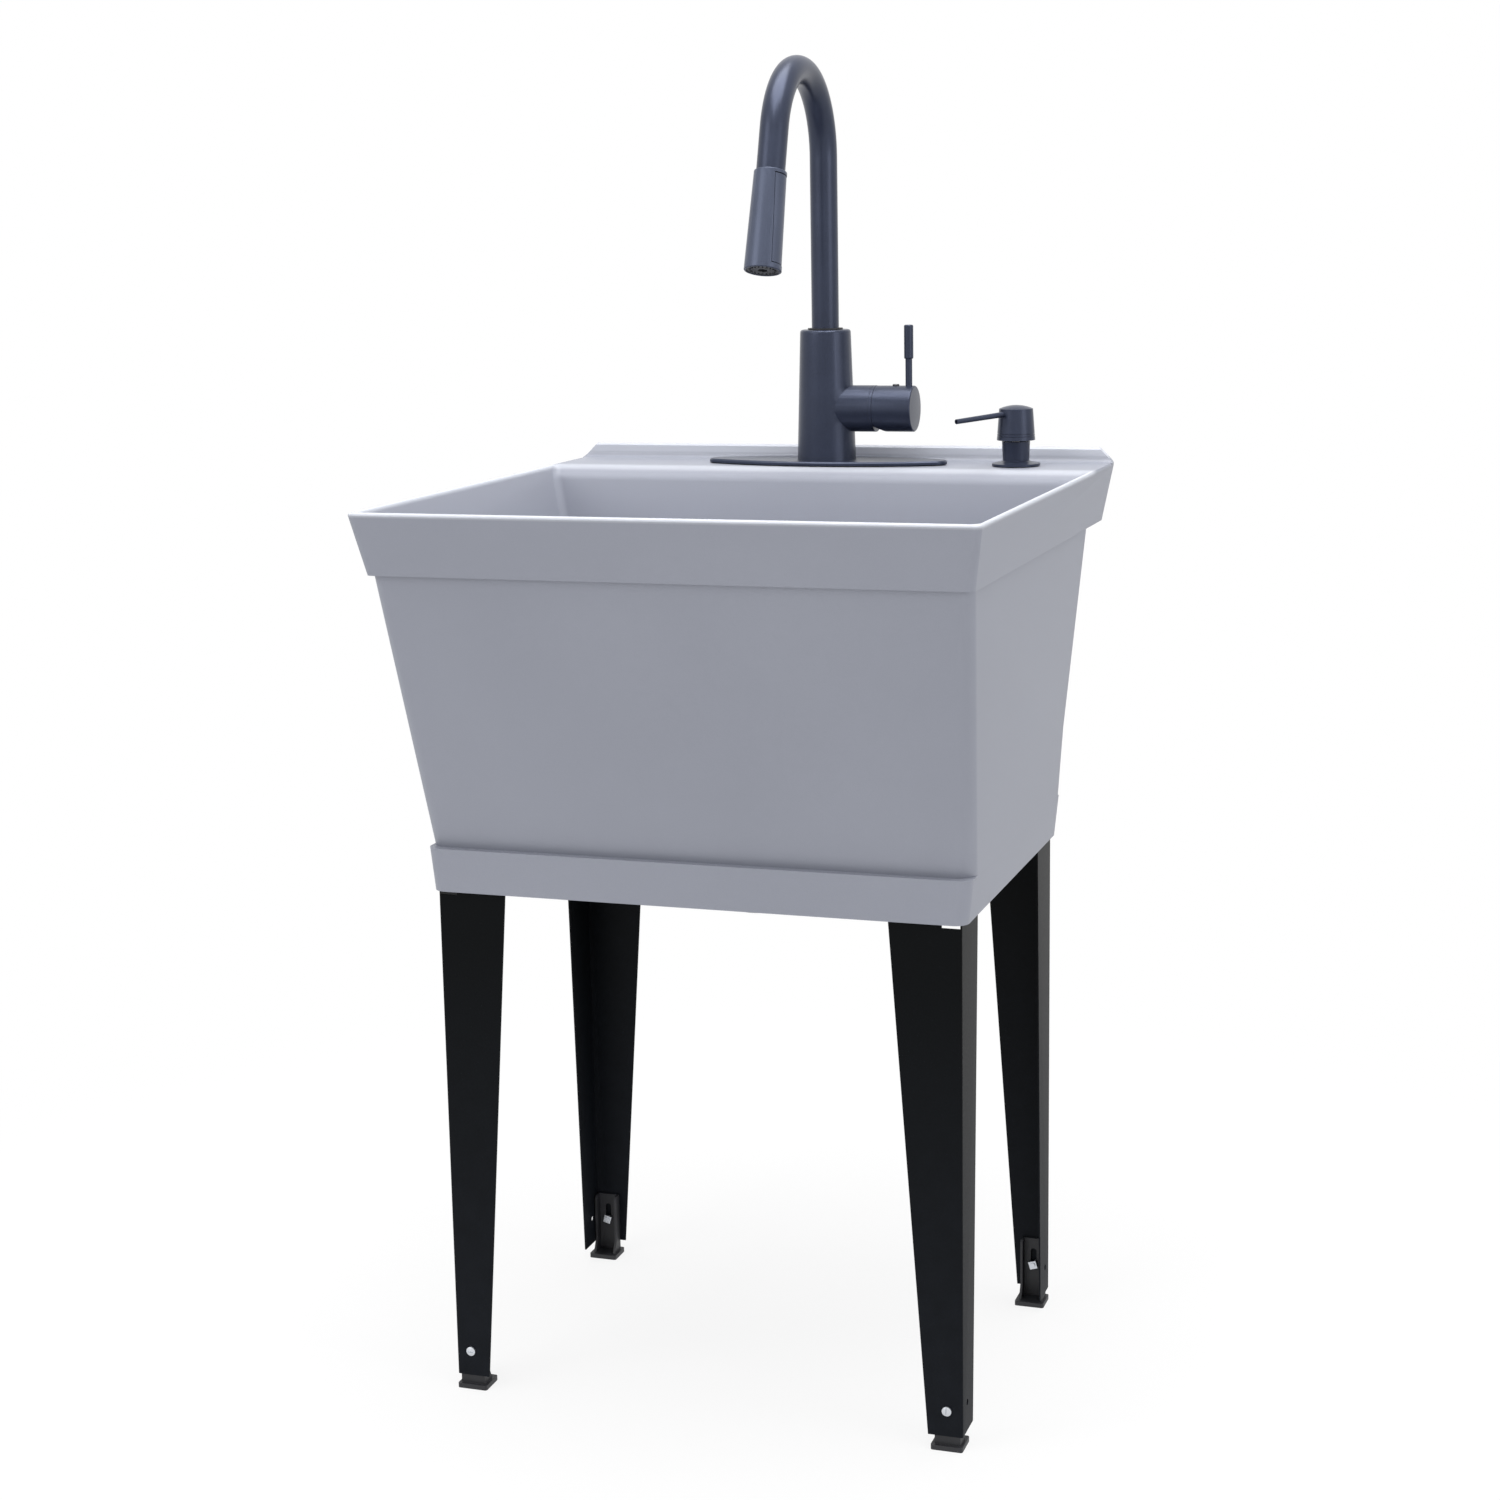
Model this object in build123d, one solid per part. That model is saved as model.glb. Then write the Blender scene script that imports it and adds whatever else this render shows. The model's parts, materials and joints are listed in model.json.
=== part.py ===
from build123d import *
import os
from math import sin, cos, tan, sqrt, radians

# Utility laundry sink on four folded steel legs, with a pull-down faucet and a soap pump.
# Millimetres. Origin on the floor under the middle of the rim. Front is -Y, handle side is +X, up is +Z.

os.makedirs("parts", exist_ok=True)

# ---- clearances ----
run_fit = 0.06            # radial, shaft turning or sliding in its bore
slip_fit = 0.3            # between neighbours that move past each other
thread_fit = 0.05         # radial, screwed or pushed together
facet = 15                # degrees per step where a rounding is built from sections

# ---- tub ----
rim_width = 581.0
rim_depth = 584.0
under_clearance = 500.0   # floor to the bottom of the skirt
skirt_height = 41.0
bowl_height = 323.0       # ledge to rim
rim_thick = 5.0
rim_corner = 7.0
rim_edge_round = 2.5
rim_side = 8.0            # rim overhang past the bowl's outer side
rim_front = 5.0
deck_depth = 110.0        # bowl's outer back to the back edge
wall = 4.0
side_taper = 20.0
front_taper = 82.0
back_taper = 15.0
corner_top = 8.0
corner_base = 14.0
floor_round = 20.0
inner_edge_round = 2.5
deck_shoulder = 15.0
apron_height = 58.0
apron_wall = 3.0
apron_side_flare = 9.5
apron_front_flare = 15.0
apron_back_flare = 13.0
lip_height = 15.0
lip_width = 9.0
lip_cove = 6.0
lip_bevel = 2.0
ledge_step = 9.0
skirt_taper = 4.5
skirt_wall = 4.7
skirt_corner = 13.0
socket_rib = 4.0
socket_depth = 26.0
floor_thick = 4.0
rim_flare = 6.5           # how far each side opens out behind the apron, up to the rim
web_low = 264.0           # height below the rim where the side webs leave the bowl's corner
web_root = 28.0           # where they leave it, in front of the middle of the bowl's back wall
web_reach = 38.0          # how far the webs reach behind the bowl at the rim
drain_boss_radius = 46.0
drain_boss_height = 6.0

# ---- legs, feet and their screws ----
sheet = 1.5
bend_outer = 2.0
flange_top = 67.8
flange_foot = 33.1
side_flange_top = 60.0
side_flange_foot = 39.0
leg_foot_gap = 14.0
notch_width = 17.0
notch_drop = 4.0
notch_rise = 2.0
leg_screw_in = 15.0
leg_screw_z = 39.0
spare_hole_in = 17.5
spare_hole_z = 42.0
spare_hole_radius = 3.0
leg_hole_play = 0.3
foot_plate_width = 30.5
foot_plate_depth = 28.0
foot_plate_thick = 4.8
foot_plate_out = 2.0
foot_width = 24.5
foot_channel_depth = 11.5
foot_wall = 2.5
foot_height = 67.0
foot_slot_width = 6.0
foot_slot_low = 33.0
foot_slot_high = 56.0
foot_flare = 6.0
foot_flare_height = 18.0
screw_radius = 2.5
screw_head_radius = 4.5
screw_head_height = 3.0
screw_dome = 1.2
screw_slot_width = 1.2
screw_slot_depth = 1.3
screw_slot_turns = [90, 0, 20, 65]   # as each screw happened to stop
nut_side = 8.0
nut_thick = 4.0
nut_turn = 17.0
screw_past_nut = 1.0

# ---- drain ----
drain_flange_radius = 38.0
drain_flange_thick = 3.0
drain_thread_radius = 22.2
drain_bore_radius = 19.0
drain_length = 43.0
drain_hole_play = 0.3
drain_gasket_radius = 34.0
drain_gasket_thick = 3.0
locknut_flats = 62.0
locknut_thick = 12.0
basket_seat_radius = 27.0
basket_seat_depth = 1.4
basket_cup_depth = 21.0
basket_sheet = 1.2
basket_knob_height = 16.0
basket_knob_radius = 7.0
basket_knob_thick = 5.0
basket_knob_edge = 1.25
basket_post_radius = 2.5
basket_hole_radius = 1.8
basket_hole_ring = 11.0
basket_hole_count = 8
stopper_thick = 4.0
stopper_radius = 16.5
tail_radius = 19.05
tail_wall = 1.2
tail_length = 44.0
tail_shoulder_radius = 19.6
tail_flange_radius = 21.5
tail_flange_thick = 1.5
tail_washer_thick = 1.5
tail_nut_radius = 28.0
tail_nut_grip = 12.0
tail_nut_lip = 9.0

# ---- faucet ----
faucet_from_back = 59.0
faucet_hole_radius = 17.5
plate_length = 256.0
plate_width = 76.0
plate_end_radius = 14.0
plate_thick = 4.0
plate_gasket = 1.0
plate_inset = 1.5
plate_edge = 1.5
column_base_radius = 30.3
column_top_radius = 26.0
column_height = 133.0
column_edge = 3.0
shank_radius = 17.0
shank_bore_radius = 15.2
shank_socket = 8.0
shank_length = 72.0
inlet_radius = 4.46
inlet_depth = 12.0
inlet_x = 6.2
inlet_y = 8.2
outlet_x = 2.5
outlet_y = 10.2
gallery_radius = 2.2
gallery_below = 6.3       # side galleries under and over the valve's axis
gallery_above = 5.7
hose_radius = 4.25
hose_wall = 1.2
hose_play = 0.8
under_gasket_radius = 29.0
under_gasket_thick = 3.0
clamp_washer_radius = 28.0
clamp_washer_thick = 2.0
mount_nut_flats = 50.0
mount_nut_thick = 12.0

# ---- side valve and handle ----
valve_rise = 52.3         # valve axis above the deck plate
valve_radius = 23.75
valve_reach = 51.2
valve_cavity_radius = 20.1
valve_cavity_start = 20.0
cartridge_length = 24.0
cartridge_boss_radius = 14.5
cartridge_boss = 5.5
cartridge_nut_thick = 6.0
carrier_shaft_radius = 11.0
carrier_shaft_depth = 11.0
trim_thick = 3.2
trim_bore_radius = 15.0
hub_radius = 23.5
hub_length = 40.6
hub_edge = 1.5
pivot_from_ring = 11.6
pivot_drop = 15.0         # tilt pin below the valve's axis
hub_cavity_radius = 20.5
hub_cavity_past = 9.0     # cavity beyond the tilt pin
hub_relief_height = 6.5   # cut under the hub that lets it tilt clear of the ring
hub_relief_length = 11.0
carrier_head_radius = 18.0
carrier_head_before = 5.5 # head on the valve's side of the tilt pin
carrier_head_past = 6.0   # head beyond the tilt pin
pivot_pin_radius = 1.5
pivot_pin_length = 16.0
stem_radius = 4.0
stem_length = 26.0
stem_eye_radius = 5.0
stem_arm_half = 3.0
lever_from_end = 6.5
lever_rod_radius = 3.5
lever_rod_seat = 10.0
lever_rod_length = 27.0
grip_radius = 4.75
grip_length = 34.6
grip_seat = 10.0
grip_edge = 1.5
index_radius = 3.5
index_from_ring = 20.4
index_rise = 1.5
index_seat = 2.0
set_screw_radius = 2.0

# ---- spout ----
spout_radius = 14.0
spout_wall = 1.5
spout_rise = 173.0
arc_radius = 83.0
arc_sweep = 162.4
spout_drop = 43.0
bush_wall = 2.94
bush_height = 39.0
bush_floor = 0.5
o_ring_radius = 1.0
o_ring_inset = 8.0
o_ring_pitch = 8.0
o_ring_count = 2
glide_height = 1.2
glide_radius = 18.0
keeper_radius = 2.0
keeper_from_top = 27.0
keeper_groove = 1.4
keeper_groove_play = 0.5
dock_length = 16.0
dock_wall = 2.2

# ---- spray head, in its own frame with the spout's end at zero and the nozzle at -Z ----
head_top_radius = 16.0
head_bottom_radius = 18.25
head_length = 98.0
head_edge = 1.0
waterway_radius = 7.5
waterway_wall = 1.8
dock_neck_length = 12.0
dock_neck_play = 0.1
connector_radius = 5.6
connector_length = 9.0
face_radius = 16.2
face_thick = 4.0
face_recess = 0.6
aerator_radius = 8.0
aerator_thick = 5.0
nub_radius = 0.8
nub_height = 0.9
nub_count = 20
nub_ring = 12.4
rocker_azimuth = 92.5     # middle of the strip, from the front towards +X
rocker_pocket_half = 13.6
rocker_root = 3.0         # pocket's inner side from the head's axis
rocker_top = 4.0
rocker_bottom = 5.5
rocker_sunk = 0.4
rocker_thick = 2.0
rocker_gap = 1.5
rocker_play = 0.8         # all round the strip
rocker_pin_radius = 1.3
rocker_pin_in = 9.9
rocker_pin_half = 6.0
rocker_lug_half = 3.0

# ---- soap pump ----
soap_from_side = 90.1
soap_hole_radius = 15.0
soap_gasket_thick = 0.8
soap_flange_radius = 24.3
soap_flange_thick = 2.2
soap_flange_cone = 1.8
soap_neck_radius = 13.5
soap_neck_top_radius = 14.25
soap_neck_height = 25.0
soap_shank_radius = 14.6
soap_shank_length = 40.0
soap_bore_radius = 11.4
soap_nut_radius = 22.0
soap_nut_thick = 10.0
soap_nut_notches = 8
soap_nut_notch = 3.0
bottle_radius = 30.0
bottle_height = 145.0
bottle_wall = 1.5
bottle_neck_height = 18.0
bottle_neck_wall = 3.0
bottle_shoulder = 14.0
pump_wall = 2.4
pump_length = 84.0
pump_sunk = 4.0
pump_cap = 3.0
pump_floor = 3.0
pump_spigot_radius = 2.0
pump_spigot = 10.0
dip_wall = 1.0
dip_length = 82.0
dip_overlap = 8.0
pump_stem_radius = 4.0
piston_thick = 10.0
piston_from_floor = 43.0
spring_wire = 1.4
spring_play = 0.8
stem_top_above_deck = 51.0
soap_head_gap = 1.5       # neck top to the skirt of the head
soap_head_radius = 19.4
soap_head_top_radius = 17.1
soap_head_height = 31.5
soap_head_crown = 3.6
soap_head_wall = 4.0
soap_head_cavity = 17.5
soap_groove = 0.8
soap_groove_first = 4.0
soap_groove_pitch = 2.5
soap_groove_count = 2
nozzle_turn = 35.0
nozzle_droop = 3.4
nozzle_reach = 80.0
nozzle_root_radius = 2.85
nozzle_tip_radius = 2.5
nozzle_bore_radius = 1.5
nozzle_inset = 9.0
nozzle_height = 27.5      # above the skirt of the head

# ---- derived places ----
ledge_z = under_clearance + skirt_height
rim_z = ledge_z + bowl_height
rim_half = rim_width / 2
back_y = rim_depth / 2
front_y = -rim_depth / 2
top_half = rim_half - rim_side
top_front = front_y + rim_front
top_back = back_y - deck_depth
ceiling_z = ledge_z - floor_thick
base_half = top_half - side_taper
base_front = top_front + front_taper
base_back = top_back - back_taper
skirt_front = base_front - ledge_step
skirt_half = base_half - skirt_taper
leg_x = skirt_half - skirt_wall - slip_fit
leg_front = skirt_front + skirt_wall + slip_fit
leg_back = base_back - skirt_wall - slip_fit
drain_y = (base_front + base_back) / 2
faucet_y = back_y - faucet_from_back
soap_x = rim_half - soap_from_side
deck_under = rim_z - rim_thick
plate_top = rim_z + plate_gasket + plate_thick
column_top = plate_top + column_height
valve_z = plate_top + valve_rise
trim_x = valve_reach + trim_thick
pivot_x = trim_x + pivot_from_ring
pivot_z = valve_z - pivot_drop
hub_start = trim_x + slip_fit
hub_end = trim_x + hub_length
arc_y = faucet_y - arc_radius
arc_z = column_top + spout_rise
arc_end_y = arc_y + arc_radius * cos(radians(arc_sweep))
arc_end_z = arc_z + arc_radius * sin(radians(arc_sweep))
drop_y = -sin(radians(arc_sweep))
drop_z = cos(radians(arc_sweep))
dock_y = arc_end_y + spout_drop * drop_y
dock_z = arc_end_z + spout_drop * drop_z
head_place = Pos(0, dock_y, dock_z) * Rot(arc_sweep - 180, 0, 0)
faucet_place = Pos(0, faucet_y, 0)
soap_place = Pos(soap_x, faucet_y, 0)
drain_place = Pos(0, drain_y, 0)


# ---- small helpers ----
def block(x0, x1, y0, y1, z0, z1):
    return Pos((x0 + x1) / 2, (y0 + y1) / 2, (z0 + z1) / 2) * Box(x1 - x0, y1 - y0, z1 - z0)


def rod_z(radius, z0, z1, x=0.0, y=0.0):
    return Pos(x, y, (z0 + z1) / 2) * Cylinder(radius, z1 - z0)


def rod_x(radius, x0, x1, y=0.0, z=0.0):
    return Pos((x0 + x1) / 2, y, z) * Rot(0, 90, 0) * Cylinder(radius, x1 - x0)


def rod_y(radius, y0, y1, x=0.0, z=0.0):
    return Pos(x, (y0 + y1) / 2, z) * Rot(90, 0, 0) * Cylinder(radius, y1 - y0)


def ring_z(outer, inner, z0, z1):
    return rod_z(outer, z0, z1) - rod_z(inner, z0 - 1, z1 + 1)


def hex_nut(flats, bore, z0, z1):
    body = Pos(0, 0, z0) * extrude(RegularPolygon(flats / 2, 6, major_radius=False), z1 - z0)
    return body - rod_z(bore, z0 - 1, z1 + 1)


def turned(points):
    # a solid of revolution about Z from (radius, height) points
    return revolve(Plane.XZ * make_face(Polyline(*points, close=True)), Axis.Z)


def dome_radius(radius, rise):
    # the sphere through a rim of this radius that rises this much in the middle
    return (radius ** 2 + rise ** 2) / (2 * rise)


def to_corner(shape, right, front):
    # pieces drawn at the front right leg go to the other legs by reflection
    placed = shape
    if not right:
        placed = mirror(placed, about=Plane.YZ)
    if not front:
        placed = Pos(0, leg_front + leg_back, 0) * mirror(placed, about=Plane.XZ)
    return placed


def corners():
    return [(True, True), (False, True), (True, False), (False, False)]


# ---- tub ----
def up_bowl(z):
    return (rim_z - z) / bowl_height


def side_flare(z):
    # behind the apron the sides open out, so that the rim is about one wall thick
    return rim_flare * max(z - (rim_z - apron_height), 0.0) / apron_height


def bowl_section(z, inset, back_grow=0.0, side_grow=0.0):
    # a level slice of the bowl, inset from its outer face
    half = top_half - side_taper * up_bowl(z) + side_flare(z) - inset + side_grow
    front = top_front + front_taper * up_bowl(z) + inset - side_grow
    back = top_back - back_taper * up_bowl(z) - inset + back_grow
    corner = corner_top + (corner_base - corner_top) * up_bowl(z) + wall - inset + side_grow
    face = RectangleRounded(2 * half, back - front, max(corner, 1.0))
    return Pos(0, (front + back) / 2, z) * face


def shoulder_grow(z, radius):
    rise = z - (rim_z - radius)
    if rise <= 0:
        return 0.0
    return radius - sqrt(max(radius ** 2 - rise ** 2, 0.0))


def bowl_hollow():
    sections = []
    for turn in range(0, 90 + facet, facet):
        z = ledge_z + floor_round * (1 - cos(radians(turn)))
        sections.append(bowl_section(z, wall + floor_round * (1 - sin(radians(turn)))))
    sections.append(bowl_section(rim_z - apron_height, wall))
    for turn in range(0, 90 + facet, facet):
        z = rim_z - deck_shoulder + deck_shoulder * sin(radians(turn))
        back_grow = shoulder_grow(z, deck_shoulder)
        side_grow = shoulder_grow(z, inner_edge_round)
        sections.append(bowl_section(z, wall, back_grow, side_grow))
    sections.append(Pos(0, 0, 1) * bowl_section(rim_z, wall, deck_shoulder, inner_edge_round))
    return loft(sections, ruled=True)


def apron_section(z, inset, edge=0.0):
    drop = max(rim_z - rim_edge_round - z, 0.0) / (apron_height - rim_edge_round)
    half = rim_half - apron_side_flare * drop - inset - edge
    front = front_y + apron_front_flare * drop + inset + edge
    back = back_y - apron_back_flare * drop - inset
    face = RectangleRounded(2 * half, back - front, max(rim_corner - inset, 1.0))
    return Pos(0, (front + back) / 2, z) * face


def rim_and_apron():
    sections = [apron_section(rim_z - apron_height, 0)]
    for turn in range(0, 90 + facet, 2 * facet):
        z = rim_z - rim_edge_round * (1 - sin(radians(turn)))
        sections.append(apron_section(z, 0, rim_edge_round * (1 - cos(radians(turn)))))
    low = apron_section(rim_z - apron_height - 1, apron_wall)
    high = apron_section(deck_under, apron_wall)
    return loft(sections, ruled=True) - loft([low, high], ruled=True)


def side_webs():
    # the side walls carry on behind the bowl as webs under the deck
    def slab(inset):
        low = up_bowl(ledge_z)
        faces = []
        for z, share in ((ledge_z, low), (rim_z, 0.0)):
            half = top_half - side_taper * share - inset
            faces.append(Pos(0, back_y / 2, z) * Rectangle(2 * half, back_y))
        return loft(faces, ruled=True)
    root = top_back - wall / 2
    web_top = rim_z - rim_thick / 2
    outline = Polyline((root - web_root, rim_z - web_low), (root + web_reach, web_top),
                       (root - web_root, web_top), close=True)
    wedge = extrude(Plane.YZ * make_face(outline), rim_half, both=True)
    return wedge & (slab(0) - slab(wall))


def shoulder_backing():
    # the wall keeps its thickness round the deck's rounded front edge
    centre_y = top_back - wall + deck_shoulder
    centre_z = rim_z - deck_shoulder
    reach = rim_half - apron_wall
    bar = block(-reach, reach, top_back - wall, centre_y, centre_z, rim_z - rim_thick / 2)
    return bar - rod_x(deck_shoulder - wall, -reach - 1, reach + 1, centre_y, centre_z)


def back_lip():
    front = back_y - lip_width
    top = rim_z + lip_height
    root = rim_z - rim_thick / 2
    bend = radians(45)
    cove_y = front - lip_cove
    cove_z = rim_z + lip_cove
    middle = (cove_y + lip_cove * sin(bend), cove_z - lip_cove * cos(bend))
    edges = [
        Line((back_y, root), (cove_y, root)),
        Line((cove_y, root), (cove_y, rim_z)),
        ThreePointArc((cove_y, rim_z), middle, (front, cove_z)),
        Line((front, cove_z), (front, top - lip_bevel)),
        Line((front, top - lip_bevel), (front + lip_bevel, top)),
        Line((front + lip_bevel, top), (back_y - lip_bevel, top)),
        Line((back_y - lip_bevel, top), (back_y, top - lip_bevel)),
        Line((back_y, top - lip_bevel), (back_y, root)),
    ]
    bar = extrude(Plane.YZ * make_face(edges), rim_half, both=True)
    ends = Polyline((-rim_half, root), (-rim_half, rim_z), (-rim_half + lip_height, top),
                    (rim_half - lip_height, top), (rim_half, rim_z), (rim_half, root), close=True)
    bar = bar & extrude(Plane.XZ * make_face(ends), rim_depth, both=True)
    outline = RectangleRounded(rim_width, rim_depth, rim_corner)
    return bar & (Pos(0, 0, root) * extrude(outline, 2 * lip_height))


def skirt():
    centre = (skirt_front + base_back) / 2
    depth = base_back - skirt_front
    low = Pos(0, centre, under_clearance) * RectangleRounded(2 * skirt_half, depth, skirt_corner)
    high = Pos(0, centre, ledge_z) * RectangleRounded(2 * base_half, depth, skirt_corner)
    inner_depth = leg_back - leg_front + 2 * slip_fit
    inner_face = RectangleRounded(2 * (leg_x + slip_fit), inner_depth, bend_outer)
    hollow = Pos(0, (leg_front + leg_back) / 2, under_clearance - 1) * extrude(
        inner_face, ceiling_z - under_clearance + 1)
    return loft([low, high], ruled=True) - hollow


def leg_socket():
    # an L rib that holds the leg's two flanges against the skirt
    face_x = leg_x - sheet - slip_fit
    face_y = leg_front + sheet + slip_fit
    low = ceiling_z - socket_depth
    high = ceiling_z + floor_thick / 2
    along_x = block(leg_x - flange_top, face_x, face_y, face_y + socket_rib, low, high)
    along_y = block(face_x - socket_rib, face_x, face_y, leg_front + side_flange_top, low, high)
    return along_x + along_y


def make_tub():
    levels = [ledge_z, rim_z - apron_height, rim_z - rim_thick / 2]
    outer = loft([bowl_section(z, 0) for z in levels], ruled=True)
    tub = rim_and_apron() + outer
    tub = tub + side_webs() + shoulder_backing()
    tub = tub + back_lip()
    tub = tub + skirt()
    boss_low = ceiling_z - drain_boss_height
    tub = tub + rod_z(drain_boss_radius, boss_low, ledge_z - wall / 4, 0, drain_y)
    tub = tub - bowl_hollow()
    for right, front in corners():
        tub = tub + to_corner(leg_socket(), right, front)
    hole = drain_thread_radius + drain_hole_play
    tub = tub - rod_z(hole, boss_low - 1, ledge_z + 1, 0, drain_y)
    seat = drain_flange_radius + drain_hole_play
    tub = tub - rod_z(seat, ledge_z - drain_flange_thick, ledge_z + 1, 0, drain_y)
    tub = tub - rod_z(faucet_hole_radius, deck_under - 1, rim_z + 1, 0, faucet_y)
    tub = tub - rod_z(soap_hole_radius, deck_under - 1, rim_z + 1, soap_x, faucet_y)
    return tub


# ---- legs ----
def make_leg():
    z0 = leg_foot_gap
    z1 = under_clearance
    z2 = ceiling_z
    face_line = Polyline((leg_x, z0), (leg_x, z2), (leg_x - flange_top, z2), (leg_x - flange_top, z1),
                         (leg_x - flange_foot, z0), close=True)
    face = Pos(0, leg_front + sheet, 0) * extrude(Plane.XZ * make_face(face_line), sheet)
    side_line = Polyline((leg_front, z0), (leg_front, z2), (leg_front + side_flange_top, z2),
                         (leg_front + side_flange_top, z1), (leg_front + side_flange_foot, z0), close=True)
    side = Pos(leg_x - sheet, 0, 0) * extrude(Plane.YZ * make_face(side_line), sheet)
    leg = face + side
    uprights = leg.edges().filter_by(Axis.Z)
    leg = fillet(uprights.sort_by(lambda e: e.center().X - e.center().Y)[-1], bend_outer)
    inner_x = leg_x - sheet
    leg = leg - block(inner_x - notch_width, inner_x, leg_front - 1, leg_front + sheet + 1,
                      z1 - notch_drop, z1 + notch_rise)
    leg = leg - rod_y(screw_radius + leg_hole_play, leg_front - 1, leg_front + sheet + 1,
                      leg_x - leg_screw_in, leg_screw_z)
    leg = leg - rod_x(spare_hole_radius, leg_x - sheet - 1, leg_x + 1,
                      leg_front + spare_hole_in, spare_hole_z)
    return leg


def make_foot():
    x = leg_x - leg_screw_in
    web = leg_front + sheet + slip_fit
    edge = foot_width / 2
    plate_y = leg_front - foot_plate_out
    foot = block(leg_x - foot_plate_width, leg_x, plate_y, plate_y + foot_plate_depth, 0, foot_plate_thick)
    foot = fillet(foot.edges().filter_by(Axis.Z), foot_plate_thick / 2)
    top = foot_height
    reach = web + foot_channel_depth
    outline = Polyline((web, 1), (reach + foot_flare, 1), (reach + foot_flare, foot_plate_thick),
                       (reach, foot_flare_height), (reach, top - foot_wall), (reach - foot_wall, top),
                       (web, top), close=True)
    upright = Pos(x - edge, 0, 0) * extrude(Plane.YZ * make_face(outline), foot_width)
    groove = block(x - edge + foot_wall, x + edge - foot_wall, web + foot_wall,
                   reach + foot_flare + 1, foot_plate_thick, top + 1)
    foot = foot + (upright - groove)
    half = foot_slot_width / 2
    low = foot_slot_low + half
    high = foot_slot_high - half
    slot = block(x - half, x + half, web - 1, web + foot_wall + 1, low, high)
    slot = slot + rod_y(half, web - 1, web + foot_wall + 1, x, low)
    slot = slot + rod_y(half, web - 1, web + foot_wall + 1, x, high)
    return foot - slot


def foot_nut_face():
    return leg_front + sheet + slip_fit + foot_wall + slip_fit


def make_foot_screw(slot_angle):
    # pan head on the outer face of the leg, shank through leg, foot and nut
    length = foot_nut_face() + nut_thick + screw_past_nut - leg_front
    flat = screw_head_height - screw_dome
    r = screw_head_radius
    dome = dome_radius(r, screw_dome)
    middle = (r / 2, screw_head_height - dome + sqrt(dome ** 2 - (r / 2) ** 2))
    edges = [
        Line((0, -length), (screw_radius, -length)),
        Line((screw_radius, -length), (screw_radius, 0)),
        Line((screw_radius, 0), (r, 0)),
        Line((r, 0), (r, flat)),
        ThreePointArc((r, flat), middle, (0, screw_head_height)),
        Line((0, screw_head_height), (0, -length)),
    ]
    screw = revolve(Plane.XZ * make_face(edges), Axis.Z)
    cut = Rot(0, 0, slot_angle) * block(-r - 1, r + 1, -screw_slot_width / 2, screw_slot_width / 2,
                                        screw_head_height - screw_slot_depth, screw_head_height + 1)
    screw = screw - cut
    return Pos(leg_x - leg_screw_in, leg_front, leg_screw_z) * Rot(90, 0, 0) * screw


def make_foot_nut():
    body = Pos(0, 0, 0) * Box(nut_side, nut_side, nut_thick)
    body = body - Cylinder(screw_radius + thread_fit, nut_thick + 2)
    centre = foot_nut_face() + nut_thick / 2
    return Pos(leg_x - leg_screw_in, centre, leg_screw_z) * Rot(90, 0, 0) * Rot(0, 0, nut_turn) * body


# ---- drain ----
def drain_seat_low():
    return ledge_z - drain_flange_thick


def drain_boss_low():
    return ceiling_z - drain_boss_height


def make_drain_body():
    low = ledge_z - drain_length
    body = rod_z(drain_flange_radius, drain_seat_low(), ledge_z)
    body = body + rod_z(drain_thread_radius, low, ledge_z - 1)
    body = body - rod_z(drain_bore_radius, low - 1, ledge_z + 1)
    return body - rod_z(basket_seat_radius, ledge_z - basket_seat_depth, ledge_z + 1)


def make_drain_gasket():
    high = drain_boss_low()
    return ring_z(drain_gasket_radius, drain_thread_radius + drain_hole_play, high - drain_gasket_thick, high)


def make_drain_locknut():
    high = drain_boss_low() - drain_gasket_thick
    return hex_nut(locknut_flats, drain_thread_radius + thread_fit, high - locknut_thick, high)


def basket_top():
    return ledge_z - basket_seat_depth + slip_fit + basket_sheet


def make_drain_basket():
    rim_low = basket_top() - basket_sheet
    cup_low = basket_top() - basket_cup_depth
    cup_r = drain_bore_radius - 2 * slip_fit
    basket = rod_z(basket_seat_radius - 2 * slip_fit, rim_low, basket_top())
    basket = basket + rod_z(cup_r, cup_low, basket_top())
    basket = basket - rod_z(cup_r - basket_sheet, cup_low + basket_sheet, basket_top() + 1)
    for i in range(basket_hole_count):
        turn = radians(360 * i / basket_hole_count)
        basket = basket - rod_z(basket_hole_radius, cup_low - 1, cup_low + basket_sheet + 1,
                                basket_hole_ring * cos(turn), basket_hole_ring * sin(turn))
    knob_top = basket_top() + basket_knob_height
    basket = basket + rod_z(basket_post_radius, cup_low, knob_top - 1)
    knob = rod_z(basket_knob_radius, knob_top - basket_knob_thick, knob_top)
    return basket + fillet(knob.edges(), basket_knob_edge)


def make_drain_stopper():
    high = basket_top() - basket_cup_depth
    low = high - stopper_thick
    return turned([(0, high), (0, low), (stopper_radius - 1, low), (stopper_radius, high)])


def tail_top():
    return ledge_z - drain_length - tail_washer_thick


def make_tailpiece_washer():
    return ring_z(tail_flange_radius, tail_shoulder_radius, tail_top(), tail_top() + tail_washer_thick)


def make_tailpiece():
    # a flanged tube with a shoulder that the nut grips; below it the trap's own nut slides on
    seat = tail_top() - tail_flange_thick
    low = seat - tail_length
    tail = rod_z(tail_flange_radius, seat, tail_top()) + rod_z(tail_radius, low, tail_top())
    tail = tail + rod_z(tail_shoulder_radius, seat - tail_nut_lip, tail_top())
    return tail - rod_z(tail_radius - tail_wall, low - 1, tail_top() + 1)


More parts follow.
